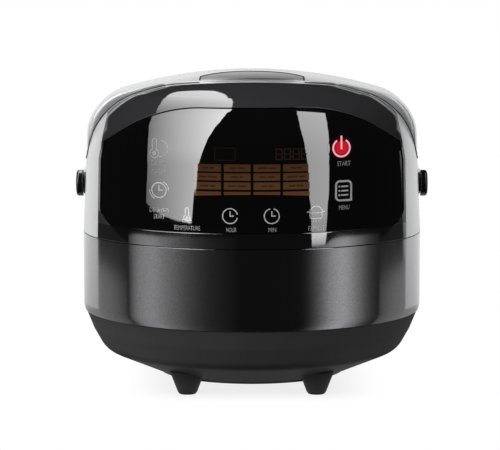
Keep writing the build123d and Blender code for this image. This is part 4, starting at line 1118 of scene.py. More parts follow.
@dataclass
class ControlPanel(Assembly):
    """Frame, window, display and touch keys on the hood."""

    lift: float = 0.12 * MM
    word_lift: float = 0.156 * MM
    start_lift: float = 0.192 * MM
    line: float = 0.95 * MM
    power: Flat = START_KEY
    power_r: float = 7.1 * MM
    menu: Flat = (76.8 * MM, 182.4 * MM)
    menu_half: Flat = (6.5 * MM, 8.0 * MM)
    hour: Flat = (-18.3 * MM, 163.3 * MM)
    minute: Flat = (16.4 * MM, 163.3 * MM)
    clock_r: float = 6.2 * MM
    pot: Flat = (53.4 * MM, 164.8 * MM)
    heat: Flat = (-54.3 * MM, 164.0 * MM)
    delay: Flat = (-78.0 * MM, 182.8 * MM)
    warm: Flat = (-77.2 * MM, 217.8 * MM)
    word: float = 3.9 * MM
    cell_x: tuple[float, float] = (-48.0 * MM, 48.0 * MM)
    cell_gap: float = 2.4 * MM
    row_tops: tuple[float, ...] = (206.2 * MM, 198.8 * MM, 191.3 * MM, 183.5 * MM)
    column_count: int = 4
    row_h: float = 6.1 * MM
    last_row_h: float = 4.0 * MM
    last_row_bow: float = 1.6 * MM
    dash_h: float = 1.5 * MM
    dash_gap: float = 0.5 * MM
    digits: Flat = (33.0 * MM, 214.4 * MM)
    digit_size: Flat = (5.0 * MM, 8.6 * MM)
    digit_pitch: float = 6.6 * MM
    digit_bar: float = 0.8 * MM
    digit_gap: float = 0.6 * MM
    box_low: Flat = (-31.0 * MM, 209.5 * MM)
    box_high: Flat = (-14.0 * MM, 219.5 * MM)
    box_line: float = 0.4 * MM
    lamp_step: float = 2 * MM
    lamp_rings: int = 6
    power_line: float = 1.5 * MM
    thin: float = 0.9 * MM

    def build(self) -> None:
        """Dress the panel and add the display, the touch keys and their words."""
        self.dress(CHARCOAL, "panel_frame")
        self.dress(LENS, "control_window")
        self.dress(BOARD, "control_board", "power_board")
        self.dress(CELL, "display_module")
        for name, draw, lift, finish, slot in (
                ("display_cells", self.cells, self.lift, CELL, Slot.DISPLAY),
                ("display_cell_words", self.cell_words, self.word_lift, CELL_WORD, Slot.DISPLAY),
                ("display_digits", self.clock_digits, self.lift, DIGIT, Slot.DISPLAY),
                ("start_lamp", self.start_lamp, self.lift, RED, Slot.WINDOW),
                ("start_mark", self.start_mark, self.start_lift, PINK, Slot.WINDOW),
                ("key_marks", self.key_marks, self.lift, INK, Slot.WINDOW),
                ("key_marks_left", self.left_marks, self.lift, WORD_INK, Slot.WINDOW),
                ("key_marks_warm", self.warm_key, self.lift, FAINT_INK, Slot.WINDOW),
                ("key_words", self.key_words, self.lift, WORD_INK, Slot.WINDOW)):
            art = Artwork(WindowForm(), lift)
            draw(art)
            self.add(name, art.done(name), finish, Body.CASING, slot)

    def columns(self) -> list[Flat]:
        """Left and right edge of each column of the display.

        Returns:
            The edges, from left to right.
        """
        count = self.column_count
        width = (self.cell_x[1] - self.cell_x[0] - (count - 1) * self.cell_gap) / count
        starts = [self.cell_x[0] + step * (width + self.cell_gap) for step in range(count)]
        return [(start, start + width) for start in starts]

    def cells(self, art: Artwork) -> None:
        """Draw the lit cells of the programme list; the last row is cut by the display's edge.

        Args:
            art: Artwork to draw on.
        """
        *tops, last = self.row_tops
        for left, right in self.columns():
            for top in tops:
                art.plate((left, top - self.row_h), (right, top))
            art.plate((left, last - self.last_row_h), (right, last), self.last_row_bow)

    def cell_words(self, art: Artwork) -> None:
        """Draw short dark dashes in the cells, where a programme's name would stand.

        Args:
            art: Artwork to draw on.
        """
        for column, (left, right) in enumerate(self.columns()):
            for row, top in enumerate(self.row_tops[:-1]):
                middle = top - self.row_h / 2
                reach = (right - left) * (0.22 + 0.06 * ((column + 2 * row) % 3))
                split = reach * (0.2 - 0.25 * ((row + column) % 2))
                centre = (left + right) / 2
                low, high = middle - self.dash_h / 2, middle + self.dash_h / 2
                for start, end in ((-reach, split - self.dash_gap), (split + self.dash_gap, reach)):
                    art.plate((centre + start, low), (centre + end, high))

    def clock_digits(self, art: Artwork) -> None:
        """Draw the unlit clock digits and the small box beside them.

        Args:
            art: Artwork to draw on.
        """
        width, height = self.digit_size
        bar = self.digit_bar
        for place in (-1.6, -0.55, 0.55, 1.6):
            x = self.digits[0] + place * self.digit_pitch
            z = self.digits[1]
            for edge in (x - width / 2, x + width / 2):
                for half in (1, -1):
                    art.stroke([(edge, z + half * self.digit_gap), (edge, z + half * height / 2)], bar)
            for level in (-1, 0, 1):
                art.stroke([(x - width / 2 + bar, z + level * height / 2),
                            (x + width / 2 - bar, z + level * height / 2)], bar)
        for rise in (-2, 2):
            art.disc((self.digits[0], self.digits[1] + rise * MM), 0.6 * MM)
        (left, low), (right, high) = self.box_low, self.box_high
        art.stroke([(left, low), (right, low), (right, high), (left, high), (left, low)], self.box_line)

    def start_lamp(self, art: Artwork) -> None:
        """Draw the red glow behind the start key."""
        for inner in range(self.lamp_rings):
            art.arc(self.power, (inner + 0.5) * self.lamp_step, 0, 360, self.lamp_step)

    def start_mark(self, art: Artwork) -> None:
        """Draw the ring and the bar of the start key.

        Args:
            art: Artwork to draw on.
        """
        art.arc(self.power, self.power_r, 122, 418, self.power_line)
        x, z = self.power
        art.stroke([(x, z - 0.4 * MM), (x, z + self.power_r + 2.0 * MM)], self.power_line)

    def clock(self, art: Artwork, centre: Flat, start: float, end: float) -> None:
        """Add a clock face with hands.

        Args:
            art: Artwork to add it to.
            centre: Middle of the clock.
            start: Angle at which its open ring starts.
            end: Angle at which it ends.
        """
        x, z = centre
        art.arc(centre, self.clock_r, start, end, self.line)
        art.stroke([(x, z + 3.6 * MM), (x, z)], self.line)
        art.stroke([(x, z), (x + 2.6 * MM, z)], self.line)

    def key_marks(self, art: Artwork) -> None:
        """Draw the bright marks of the menu, time, temperature and quick-cook keys.

        Args:
            art: Artwork to draw on.
        """
        self.clock(art, self.hour, 12, 348)
        self.clock(art, self.minute, 104, 436)
        self.menu_mark(art)
        self.small_pot(art)
        self.thermometer(art, self.heat, 1.0)
        x, z = self.heat
        for row in (-6.6, -5.0):
            art.stroke([(x - 3.4 * MM, z + row * MM), (x + 3.4 * MM, z + row * MM)], self.thin)

    def menu_mark(self, art: Artwork) -> None:
        """Add the mark of a list in a frame with one square corner.

        Args:
            art: Artwork to add it to.
        """
        x, z = self.menu
        wide, tall = self.menu_half
        corner, line = 3.2 * MM, 1.6 * MM
        art.stroke([(x - wide + corner, z + tall), (x + wide - corner, z + tall)], line)
        art.stroke([(x - wide, z - tall + corner), (x - wide, z + tall - corner)], line)
        art.stroke([(x + wide, z + tall - corner), (x + wide, z - tall), (x - wide + corner, z - tall)], line)
        for side_x, side_z, start in ((-1, 1, 90), (1, 1, 0), (-1, -1, 180)):
            middle = (x + side_x * (wide - corner), z + side_z * (tall - corner))
            art.arc(middle, corner, start, start + 90, line, 8)
        for level in (-1, 0, 1):
            row = z + level * 3.6 * MM
            art.stroke([(x - 1.4 * MM, row), (x + 3.3 * MM, row)], 1.3 * MM)
            art.disc((x - 3.6 * MM, row), 0.85 * MM)

    def small_pot(self, art: Artwork) -> None:
        """Add the mark of a lidded pot with steam dots under it.

        Args:
            art: Artwork to add it to.
        """
        x, z = self.pot
        half, floor, rim, corner = 5.0 * MM, z - 4.4 * MM, z + 2.6 * MM, 2.0 * MM
        for side in (-1, 1):
            edge = x + side * half
            art.stroke([(edge, floor + corner), (edge, rim)], self.line)
            lug = z + 1.2 * MM
            art.stroke([(edge + side * 0.6 * MM, lug), (edge + side * 2.0 * MM, lug)], self.line)
            turn = 225 + side * 45
            art.arc((edge - side * corner, floor + corner), corner, turn, turn + 90, self.line, 8)
        art.stroke([(x - half + corner, floor), (x + half - corner, floor)], self.line)
        art.stroke([(x - half, z + 0.2 * MM), (x + half, z + 0.2 * MM)], 0.7 * MM)
        art.arc((x, rim - 2.4 * MM), half + 0.5 * MM, 28, 152, self.line, 16)
        for shift in (-2.4, 0.0, 2.4):
            art.disc((x + shift * MM, floor - 2.2 * MM), 0.55 * MM)

    def thermometer(self, art: Artwork, centre: Flat, scale: float) -> None:
        """Add the mark of a thermometer.

        Args:
            art: Artwork to add it to.
            centre: Middle of the mark.
            scale: Size as a share of the usual one.
        """
        x, z = centre
        bulb, stem, height = 2.6 * MM * scale, 1.35 * MM * scale, 7.2 * MM * scale
        low = z - 3.2 * MM * scale
        art.arc((x, low), bulb, 122, 418, self.thin)
        for edge in (x - stem, x + stem):
            art.stroke([(edge, low + bulb * 0.8), (edge, low + height)], self.thin)
        art.arc((x, low + height), stem, 0, 180, self.thin, 10)
        art.disc((x, low), bulb * 0.5)

    def left_marks(self, art: Artwork) -> None:
        """Draw the dimmer mark of the delay key.

        Args:
            art: Artwork to draw on.
        """
        self.clock(art, self.delay, 0, 360)
        for start in (0, 180):
            art.arc(self.delay, self.clock_r + 1.9 * MM, start, start + 62, 0.8 * MM, 14)

    def warm_key(self, art: Artwork) -> None:
        """Draw the faint mark and words of the keep-warm key.

        Args:
            art: Artwork to draw on.
        """
        x, z = self.warm
        self.thermometer(art, (x - 4.7 * MM, z), 1.4)
        art.arc((x + 0.3 * MM, z - 0.3 * MM), 6.6 * MM, -100, 80, self.thin, 18)
        for text, height in (("CANCEL", 205.2 * MM), ("REHEAT", 198.1 * MM)):
            art.words(text, (x - 1.0 * MM, height), self.word, 0.66)

    def key_words(self, art: Artwork) -> None:
        """Draw plain words under the keys.

        Args:
            art: Artwork to draw on.
        """
        low = 151.6 * MM
        for text, x, z, narrow in (
                ("START", self.power[0] + 1.9 * MM, 205.0 * MM, 0.72),
                ("MENU", self.menu[0] + 0.6 * MM, 168.2 * MM, 0.62),
                ("HOUR", self.hour[0] + 1.0 * MM, low, 0.55), ("MIN", self.minute[0] + 0.4 * MM, low, 0.7),
                ("TEMPERATURE", self.heat[0], low + 0.6 * MM, 0.62),
                ("EXPRESS", self.pot[0], low + 0.6 * MM, 0.66),
                ("DELAYED", self.delay[0], 165.7 * MM, 0.72), ("START", self.delay[0], 160.4 * MM, 0.6)):
            art.words(text, (x, z), self.word, narrow)


@dataclass
class LidGroup(Assembly):
    """Lid with its button, latch, inner lid and steam valve."""

    pot_y: float = 15 * MM
    inner_z: float = 199.1 * MM
    bead_r: float = 88 * MM
    bead_h: float = 1.2 * MM
    bead_w: float = 5 * MM
    dimple_ring: float = 60 * MM
    dimple_r: float = 3.2 * MM
    dimple_h: float = 1.1 * MM
    dimples: int = 16
    knob_y: float = 55 * MM
    knob_r: float = 12 * MM
    seam_r: float = 119.5 * MM
    seam_y: float = -78 * MM
    seam_z: float = 200 * MM
    notch_r: float = 20 * MM
    corner_r: float = 18 * MM
    # Radius of the dark beads; inset and lift of the bead painted as the shadow line of the lid's seam.
    dark_bead_r: float = 0.5 * MM
    shade_bead_inset: float = 0.2 * MM
    shade_bead_lift: float = 0.15 * MM
    surround_lift: float = 0.75 * MM
    button_half: float = 45.25 * MM
    button_side_y: float = -74 * MM
    button_front_y: float = -92 * MM
    button_turn: float = 51.25 * MM
    housing_half: float = 70 * MM

    def build(self) -> None:
        """Dress the lid and add its springs, the painted shadow line along its seam, the dark surround of its
        button and the pressed forms of the inner lid.
        """
        self.dress(LID_SILVER, "lid_shell")
        self.dress(SMOKE, "release_button", "steam_valve_cap")
        self.dress(GREY, "lid_liner", "button_pan", "latch_hook", "steam_valve_body")
        self.dress(STEEL, "latch_bracket", "latch_pin")
        self.add_springs("button_springs", "button_press", Body.LID)
        self.dress(ALUMINIUM, "inner_lid")
        self.dress(SILICONE, "inner_lid_knob", "lid_gasket", "steam_valve_seal")
        self.add("inner_lid_pressing", self.pressing(), ALUMINIUM, Body.LID, Slot.INNER_LID)
        # Painted shade: a dark bead on the body stands for the shadow line in the lid's seam.
        self.add("lid_seam_shade_bead", self.seam_shade_bead(BodyForm()), SEAL, Body.CASING, Slot.SEAL)
        self.add("button_surround", self.button_surround(LidForm()), SEAL, Body.LID, Slot.SEAL)

    def seam_line(self, form: BodyForm) -> list[Vector]:
        """Right-hand edge of the lid on the outside of the body, from the button to the hinge.

        Args:
            form: Outside of the body.

        Returns:
            Places along the edge.
        """
        inset = self.shade_bead_inset
        rim, line, level = self.seam_r - inset, self.seam_y + inset, self.seam_z + inset
        notch, corner = self.notch_r + inset, self.corner_r - inset
        notch_y = line - notch
        notch_x = math.sqrt((rim + notch) ** 2 - (self.pot_y - notch_y) ** 2)
        meet = math.atan2(notch_x, self.pot_y - notch_y)
        start = math.asin((self.button_half + self.dark_bead_r) / rim)
        flat = [(rim * math.sin(turn), self.pot_y - rim * math.cos(turn)) for turn in spaced(start, meet, 20)]
        turns = spaced(math.pi / 2 + meet, math.pi / 2, 10)[1:]
        flat += [(notch_x + notch * math.cos(turn), notch_y + notch * math.sin(turn)) for turn in turns]
        ahead = form.front_y - line
        first, last = math.hypot(notch_x, ahead), form.shoulder_in + form.shoulder_radius * math.sqrt(0.5)
        flat += [(math.sqrt(reach ** 2 - ahead ** 2), line) for reach in spaced(first, last, 20)[1:]]
        path = [Vector((x, y, form.top(math.hypot(x, y - form.front_y)))) for x, y in flat]
        low = level + corner
        side = [(line, z) for z in spaced(path[-1].z, low, 12)[1:]]
        turns = spaced(0.0, math.pi / 2, 12)[1:]
        side += [(line + corner * (1 - math.cos(turn)), low - corner * math.sin(turn)) for turn in turns]
        side += [(y, level) for y in spaced(line + corner, form.front_y, 8)[1:]]
        path += [Vector((math.sqrt(form.reach(z) ** 2 - (y - form.front_y) ** 2), y, z)) for y, z in side]
        wall = form.reach(level)
        path.append(Vector((wall, form.rear_y, level)))
        end = math.acos(self.housing_half / wall)
        return path + [Vector((wall * math.cos(turn), form.rear_y + wall * math.sin(turn), level))
                       for turn in spaced(0.0, end, 24)[1:]]

    def seam_shade_bead(self, form: BodyForm) -> bpy.types.Mesh:
        """Dark bead along both sides of the lid's edge, painted as the shadow line in the seam.

        Args:
            form: Outside of the body.

        Returns:
            The mesh.
        """
        made = bmesh.new()
        path = self.seam_line(form)
        for side in (1, -1):
            mirrored = [Vector((side * spot.x, spot.y, spot.z)) for spot in path]
            form.bead(made, mirrored, self.dark_bead_r, self.shade_bead_lift)
        return closed(made, "lid_seam_shade_bead")

    def button_surround(self, form: BodyForm) -> bpy.types.Mesh:
        """Soft dark surround at the rear and the sides of the release button.

        Args:
            form: Outside of the lid.

        Returns:
            The mesh.
        """
        made = bmesh.new()
        centre_y = form.front_y - self.button_turn
        reach = math.asin(self.button_half / self.button_turn)
        rear = [(self.button_turn * math.sin(turn), centre_y + self.button_turn * math.cos(turn))
                for turn in spaced(-reach, reach, 40)]
        side = spaced(self.button_front_y, self.button_side_y, 8)[:-1]
        left, right = ([(edge, y) for y in side] for edge in (-self.button_half, self.button_half))
        flat = left + rear + right[::-1]
        path = [Vector((x, y, form.top(math.hypot(x, min(y - form.front_y, 0.0))))) for x, y in flat]
        form.bead(made, path, self.dark_bead_r, self.surround_lift)
        return closed(made, "button_surround")

    def pressing(self) -> bpy.types.Mesh:
        """Raised bead and dimples on the lower face of the inner lid.

        Returns:
            The mesh.
        """
        made = bmesh.new()
        self.ring(made, Vector((0, self.pot_y, self.inner_z)))
        for step in range(self.dimples):
            turn = 2 * math.pi * (step + 0.5) / self.dimples
            right, back = self.dimple_ring * math.cos(turn), self.dimple_ring * math.sin(turn)
            centre = Vector((right, self.pot_y + back, self.inner_z))
            if math.hypot(centre.x, centre.y - self.knob_y) > self.knob_r + 2 * self.dimple_r:
                self.dome(made, centre)
        for face in made.faces:
            face.smooth = True
        return mesh_of(made, "inner_lid_pressing")

    def ring(self, made: bmesh.types.BMesh, centre: Vector) -> None:
        """Add the rounded bead that hangs from the disc.

        Args:
            made: Mesh to add it to.
            centre: Centre of the ring.
        """
        around, slices = 96, 8
        loops = []
        for right, back in circle(around):
            loop = []
            for lean in spaced(0.0, math.pi, slices):
                reach = self.bead_r - self.bead_w / 2 * math.cos(lean)
                drop = self.bead_h * math.sin(lean)
                loop.append(made.verts.new(centre + Vector((reach * right, reach * back, -drop))))
            loops.append(loop)
        for first, second in zip(loops, loops[1:] + loops[:1]):
            for part in range(slices):
                made.faces.new((first[part], second[part], second[part + 1], first[part + 1]))

    def dome(self, made: bmesh.types.BMesh, centre: Vector) -> None:
        """Add one pressed dimple.

        Args:
            made: Mesh to add it to.
            centre: Its centre on the disc.
        """
        around, rise = 20, 5
        tip = made.verts.new(centre - Vector((0, 0, self.dimple_h)))
        rows = []
        for lean in spaced(0.0, math.pi / 2, rise)[1:]:
            reach = self.dimple_r * math.sin(lean)
            drop = self.dimple_h * math.cos(lean)
            rows.append([made.verts.new(centre + Vector((reach * right, reach * back, -drop)))
                         for right, back in circle(around)])
        for here, after in zip(rows[0], rows[0][1:] + rows[0][:1]):
            made.faces.new((tip, after, here))
        skin(made, rows)


@dataclass
class CookingWell(Assembly):
    """Pot, heater and sensor."""

    pot_y: float = 15 * MM
    wall_r: float = 109 * MM
    floor_z: float = 54.5 * MM
    mark_step: float = 24 * MM
    marks: int = 5
    mark_span: float = 9.0
    mark_h: float = 0.8 * MM
    mark_lift: float = 0.08 * MM
    mark_faces: int = 12
    top_mark: float = 1.6
    facing: float = 40.0

    def build(self) -> None:
        """Dress the pot and the heater and add the sensor's spring and the level marks in the pot."""
        self.dress(COATING, "inner_pot")
        self.dress(ALUMINIUM, "heater_plate", "pot_sensor")
        self.add_springs("sensor_spring", "pot_sensor_press", Body.CASING)
        self.add("pot_level_marks", self.level_marks(), POT_INK, Body.CASING, Slot.POT)

    def level_marks(self) -> bpy.types.Mesh:
        """Level lines on the inside of the pot's wall.

        Returns:
            The mesh.
        """
        made = bmesh.new()
        reach = self.wall_r - self.mark_lift
        for level in range(1, self.marks + 1):
            z = self.floor_z + level * self.mark_step
            span = self.mark_span * (self.top_mark if level == self.marks else 1.0)
            ends = math.radians(self.facing - span / 2), math.radians(self.facing + span / 2)
            turns = spaced(*ends, self.mark_faces)
            high = z + self.mark_h
            for first, second in zip(turns, turns[1:]):
                corners = ((first, z), (first, high), (second, high), (second, z))
                made.faces.new([
                    made.verts.new((reach * math.cos(turn), self.pot_y + reach * math.sin(turn), height))
                    for turn, height in corners])
        return mesh_of(made, "pot_level_marks")


@dataclass
class RearFittings(Assembly):
    """Hinge, condensate cup and mains inlet on the rear."""

    rib_count: int = 4
    rib_pitch: float = 6 * MM
    rib_h: float = 1.8 * MM
    rib_out: float = 0.9 * MM
    rib_margin: float = 14 * MM

    def build(self) -> None:
        """Dress the rear fittings and add the finger ribs of the cup."""
        self.dress(BLACK, "hinge_housing", "power_inlet", "handle_pivot_left", "handle_pivot_right")
        self.dress(STEEL, "hinge_pin", "hinge_springs")
        self.dress(BRASS, "inlet_pins")
        self.dress(GREY, "condensate_cup")
        self.add("cup_ribs", self.cup_ribs(), GREY, Body.CUP, Slot.CUP)

    def cup_ribs(self) -> bpy.types.Mesh:
        """Rounded finger ribs across the rear of the condensate cup.

        Returns:
            The mesh.
        """
        low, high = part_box("condensate_cup")
        made = bmesh.new()
        middle = (low.z + high.z) / 2
        slices = 8
        for rib in range(self.rib_count):
            z = middle + (rib - (self.rib_count - 1) / 2) * self.rib_pitch
            rows = []
            for lean in spaced(0.0, math.pi, slices):
                rows.append([made.verts.new((x, high.y + self.rib_out * math.sin(lean),
                                             z - self.rib_h / 2 * math.cos(lean)))
                             for x in (low.x + self.rib_margin, high.x - self.rib_margin)])
            for first, second in zip(rows, rows[1:]):
                made.faces.new((first[0], second[0], second[1], first[1])).smooth = True
            made.faces.new([row[0] for row in reversed(rows)])
            made.faces.new([row[1] for row in rows])
        return mesh_of(made, "cup_ribs")


@dataclass
class CarryHandle(Assembly):
    """Bail, grip and round ends of the carrying handle."""

    rib_count: int = 13
    rib_pitch: float = 7.5 * MM
    rib_w: float = 2.2 * MM
    rib_out: float = 0.45 * MM
    corner: float = 5 * MM

    def build(self) -> None:
        """Dress the handle and add the ribs of its grip."""
        self.dress(KNOB, "handle_knob_left", "handle_knob_right")
        self.dress(SILVER, "handle_bail")
        self.dress(GRIP, "handle_grip")
        self.add("grip_ribs", self.grip_ribs(), GRIP, Body.HANDLE, Slot.GRIP)

    def outline(self, low: Vector, high: Vector, out: float) -> list[Flat]:
        """Rounded section of the grip.

        Args:
            low: Lowest corner of the grip.
            high: Highest corner of the grip.
            out: How far outside the grip's face the outline lies.

        Returns:
            Places (y, z) round the section.
        """
        places = []
        corners = ((high.y, high.z), (low.y, high.z), (low.y, low.z), (high.y, low.z))
        for quarter, (y, z) in enumerate(corners):
            centre_y = y - math.copysign(self.corner, y - (low.y + high.y) / 2)
            centre_z = z - math.copysign(self.corner, z - (low.z + high.z) / 2)
            for angle in spaced(math.pi / 2 * quarter, math.pi / 2 * (quarter + 1), 6):
                places.append((centre_y + (self.corner + out) * math.cos(angle),
                               centre_z + (self.corner + out) * math.sin(angle)))
        return places

    def grip_ribs(self) -> bpy.types.Mesh:
        """Low rounded ribs round the grip.

        Returns:
            The mesh.
        """
        low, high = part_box("handle_grip")
        made = bmesh.new()
        slices = 6
        for rib in range(self.rib_count):
            x = (rib - (self.rib_count - 1) / 2) * self.rib_pitch
            rows = []
            for lean in spaced(0.0, math.pi, slices):
                place_x = x - self.rib_w / 2 * math.cos(lean)
                rows.append([made.verts.new((place_x, y, z))
                             for y, z in self.outline(low, high, self.rib_out * math.sin(lean))])
            skin(made, rows)
        return mesh_of(made, "grip_ribs")


def spline(before: float, here: float, after: float, later: float, share: float) -> float:
    """Smooth curve through four values.

    Args:
        before: First value.
        here: Second value, where the share is 0.
        after: Third value, where the share is 1.
        later: Fourth value.
        share: How far along the curve is between the second value and the third.

    Returns:
        The value there.
    """
    bend = 2 * before - 5 * here + 4 * after - later + share * (3 * (here - after) + later - before)
    return here + 0.5 * share * (after - before + share * bend)


@dataclass(frozen=True)
class Station:
    """One line across a light panel, by the directions of its ends as seen from the object."""

    near: Direction
    far: Direction
    near_glow: float
    far_glow: float

    def values(self) -> tuple[float, ...]:
        """All numbers of the station in a row."""
        return (*self.near, *self.far, self.near_glow, self.far_glow)


@dataclass(frozen=True)
class LightPanel:
    """Glowing studio panel that runs smoothly through its stations."""

    name: str
    stations: tuple[Station, ...]
    distance: float = 2.4
    centre: Place = (0.0, -0.12, 0.18)
    across: int = 12
    between: int = 8

    def place(self, turn: float, rise: float) -> Vector:
        """Place in the studio.

        Args:
            turn: Degrees to the right of the front.
            rise: Degrees above the horizon.

        Returns:
            The place at the panel's distance.
        """
        turn, rise = math.radians(turn), math.radians(rise)
        way = Vector((math.sin(turn) * math.cos(rise), -math.cos(turn) * math.cos(rise), math.sin(rise)))
        return Vector(self.centre) + way * self.distance

    def lines(self) -> list[tuple[float, ...]]:
        """Stations with smooth ones put between them.

        Returns:
            Their numbers, row by row.
        """
        rows = [station.values() for station in self.stations]
        rows = [rows[0], *rows, rows[-1]]
        made = []
        for four in zip(rows, rows[1:], rows[2:], rows[3:]):
            for step in range(self.between):
                made.append(tuple(spline(*values, step / self.between) for values in zip(*four)))
        return made + [rows[-1]]

    def build(self) -> None:
        """Add the panel to the studio."""
        made = bmesh.new()
        glow = made.verts.layers.float.new("glow")
        rows = []
        for near_turn, near_rise, far_turn, far_rise, near_glow, far_glow in self.lines():
            near, far = self.place(near_turn, near_rise), self.place(far_turn, far_rise)
            row = []
            for share in spaced(0.0, 1.0, self.across):
                spot = made.verts.new(near.lerp(far, share))
                spot[glow] = near_glow + (far_glow - near_glow) * share
                row.append(spot)
            rows.append(row)
        for first, second in zip(rows, rows[1:]):
            for step in range(self.across):
                made.faces.new((first[step], first[step + 1], second[step + 1], second[step]))
        mesh = mesh_of(made, self.name)
        mesh.materials.append(self.light())
        panel = bpy.data.objects.new(self.name, mesh)
        bpy.context.scene.collection.objects.link(panel)
        panel.visible_camera = False

    def light(self) -> bpy.types.Material:
        """Light of the panel, brighter where its mesh says so.

        Returns:
            The material.
        """
        made = bpy.data.materials.new(self.name)
        made.use_nodes = True
        graph = Graph(made.node_tree)
        glow = graph.shade("ShaderNodeAttribute", {"attribute_name": "glow"}, output="Fac")
        colour = graph.shade("ShaderNodeCombineColor", {}, {0: glow, 1: glow, 2: glow})
        light = graph.shade("ShaderNodeEmission", {}, {"Color": colour})
        graph.node("ShaderNodeOutputMaterial", {}, {"Surface": light})
        return made


@dataclass
class Studio:
    """Camera, floor, backdrop and soft panels of the studio."""

    image: tuple[int, int] = (500, 450)
    focal_px: float = 2350.0
    camera_place: Place = (-0.0017, -2.1335, 0.3808)
    camera_pitch: float = 6.615
    sensor: float = 36.0
    floor_x: float = 0.12
    floor_y: tuple[float, float] = (-0.17, 0.30)
    floor_plain: float = 0.5
    floor_dim: float = 0.25
    floor_glow: float = 0.82
    room: float = 0.012
    backdrop_turn: float = 127.0
    backdrop_rise: float = 16.5
    backdrop_narrow: float = 136.0
    backdrop_soft: float = 0.02
    backdrop_spill: float = 0.6
    top_fade: float = 0.28
    low_fade: float = 0.6
    low_band: tuple[float, float] = (0.09, 0.225)
    low_rise: float = -42.0
    low_left: tuple[Graded, ...] = (
        (-91, -4.1, 0.04), (-86, -3.9, 0.28), (-80, -3.7, 0.48), (-70, -3.45, 0.56), (-61, -3.25, 0.40),
        (-52, -3.0, 0.25), (-43, -2.85, 0.13), (-30, -2.65, 0.05), (-10, -2.5, 0.015))
    low_right: tuple[Graded, ...] = (
        (29, -3.7, 0.01), (38, -3.7, 0.04), (46, -3.7, 0.21), (55, -3.3, 0.59), (64, -3.35, 0.75),
        (74, -3.6, 0.42), (84, -3.85, 0.13), (95, -4.2, 0.03))
    gap: tuple[Upright, ...] = (
        (92, -9.5, low_rise, 0.10, 0.16), (103, -9.2, low_rise, 0.24, 0.24),
        (115, -8.9, low_rise, 0.32, 0.30), (127, -8.7, low_rise, 0.36, 0.34))
    sill: tuple[Upright, ...] = (
        (92, -4.5, -9.5, 0.03, 0.04), (103, -4.5, -9.2, 0.03, 0.05), (115, -4.5, -8.9, 0.03, 0.06),
        (127, -4.5, -8.7, 0.03, 0.06))
    jamb: tuple[Upright, ...] = (
        (122.5, -8.6, 4, 0.2, 0.2), (125, -8.6, 4, 0.5, 0.5), (128.5, -8.6, 4, 0.8, 0.8))

    def build(self) -> None:
        """Build the whole studio."""
        self.camera()
        self.floor()
        self.world()
        panels = [self.key_panel(), self.side_panel()]
        for name, rows in (("low_left_panel", self.low_left), ("low_right_panel", self.low_right)):
            graded = [(turn, rise, self.low_rise, glow, glow) for turn, rise, glow in rows]
            panels.append(self.upright(name, graded))
        for name, rows in (("rear", self.gap), ("sill", self.sill)):
            panels.append(self.upright(f"{name}_left_panel", rows, -1))
            panels.append(self.upright(f"{name}_right_panel", rows))
        panels.append(self.upright("jamb_panel", self.jamb))
        for panel in panels:
            panel.build()
            LOG.info("added %s to the studio", panel.name)
        bpy.context.scene.view_settings.view_transform = "Standard"

    def camera(self) -> None:
        """Add the camera at the photograph's viewing angle."""
        data = bpy.data.cameras.new("camera")
        data.sensor_width = self.sensor
        data.lens = self.focal_px / self.image[0] * self.sensor
        data.clip_end = 50.0
        camera = bpy.data.objects.new("camera", data)
        camera.location = self.camera_place
        camera.rotation_euler = (math.radians(90 - self.camera_pitch), 0.0, 0.0)
        bpy.context.scene.collection.objects.link(camera)
        bpy.context.scene.camera = camera

    def floor(self) -> None:
        """Add the pale floor under the object, white but for the object's shadow, which fades at its edge."""
        made = bmesh.new()
        x, (front, back) = self.floor_x, self.floor_y
        corners = ((-x, front), (x, front), (x, back), (-x, back))
        made.faces.new([made.verts.new((*corner, 0)) for corner in corners])
        mesh = mesh_of(made, "floor")
        material = bpy.data.materials.new("floor")
        material.use_nodes = True
        graph = Graph(material.node_tree)
        across, along, _ = graph.axes(graph.object_place())
        side = across.math("ABSOLUTE", across)
        ahead, behind = along.step(front, front + 0.5 * x), 1 - along.step(back - x, back)
        inside = (1 - side.step(0.5 * x, x)) * ahead * behind
        plain = graph.shade("ShaderNodeBsdfDiffuse", {}, {"Color": grey(self.floor_plain)})
        dim = graph.shade("ShaderNodeBsdfDiffuse", {}, {"Color": grey(self.floor_dim)})
        soft = graph.shade("ShaderNodeEmission", {}, {"Color": grey(1.0), "Strength": self.floor_glow})
        white = graph.shade("ShaderNodeEmission", {}, {"Color": grey(1.0)})
        lit = graph.shade("ShaderNodeAddShader", {}, {0: dim, 1: soft})
        faded = graph.shade("ShaderNodeMixShader", {}, {0: inside, 1: white, 2: lit})
        shown = graph.shade("ShaderNodeMixShader", {}, {0: self.background_rays(graph), 1: plain, 2: faded})
        graph.node("ShaderNodeOutputMaterial", {}, {"Surface": shown})
        mesh.materials.append(material)
        floor = bpy.data.objects.new("floor", mesh)
        bpy.context.scene.collection.objects.link(floor)

    def background_rays(self, graph: Graph) -> Shade:
        """Rays that see the white background: from the camera, off gloss and through glass.

        Args:
            graph: Node tree of the material.

        Returns:
            1 for such rays, 0 for others.
        """
        path = graph.node("ShaderNodeLightPath")
        seen, gloss, glass = (Shade(graph, path.outputs[name])
                              for name in ("Is Camera Ray", "Is Glossy Ray", "Is Transmission Ray"))
        return seen.math("MAXIMUM", seen, gloss.math("MAXIMUM", gloss, glass))

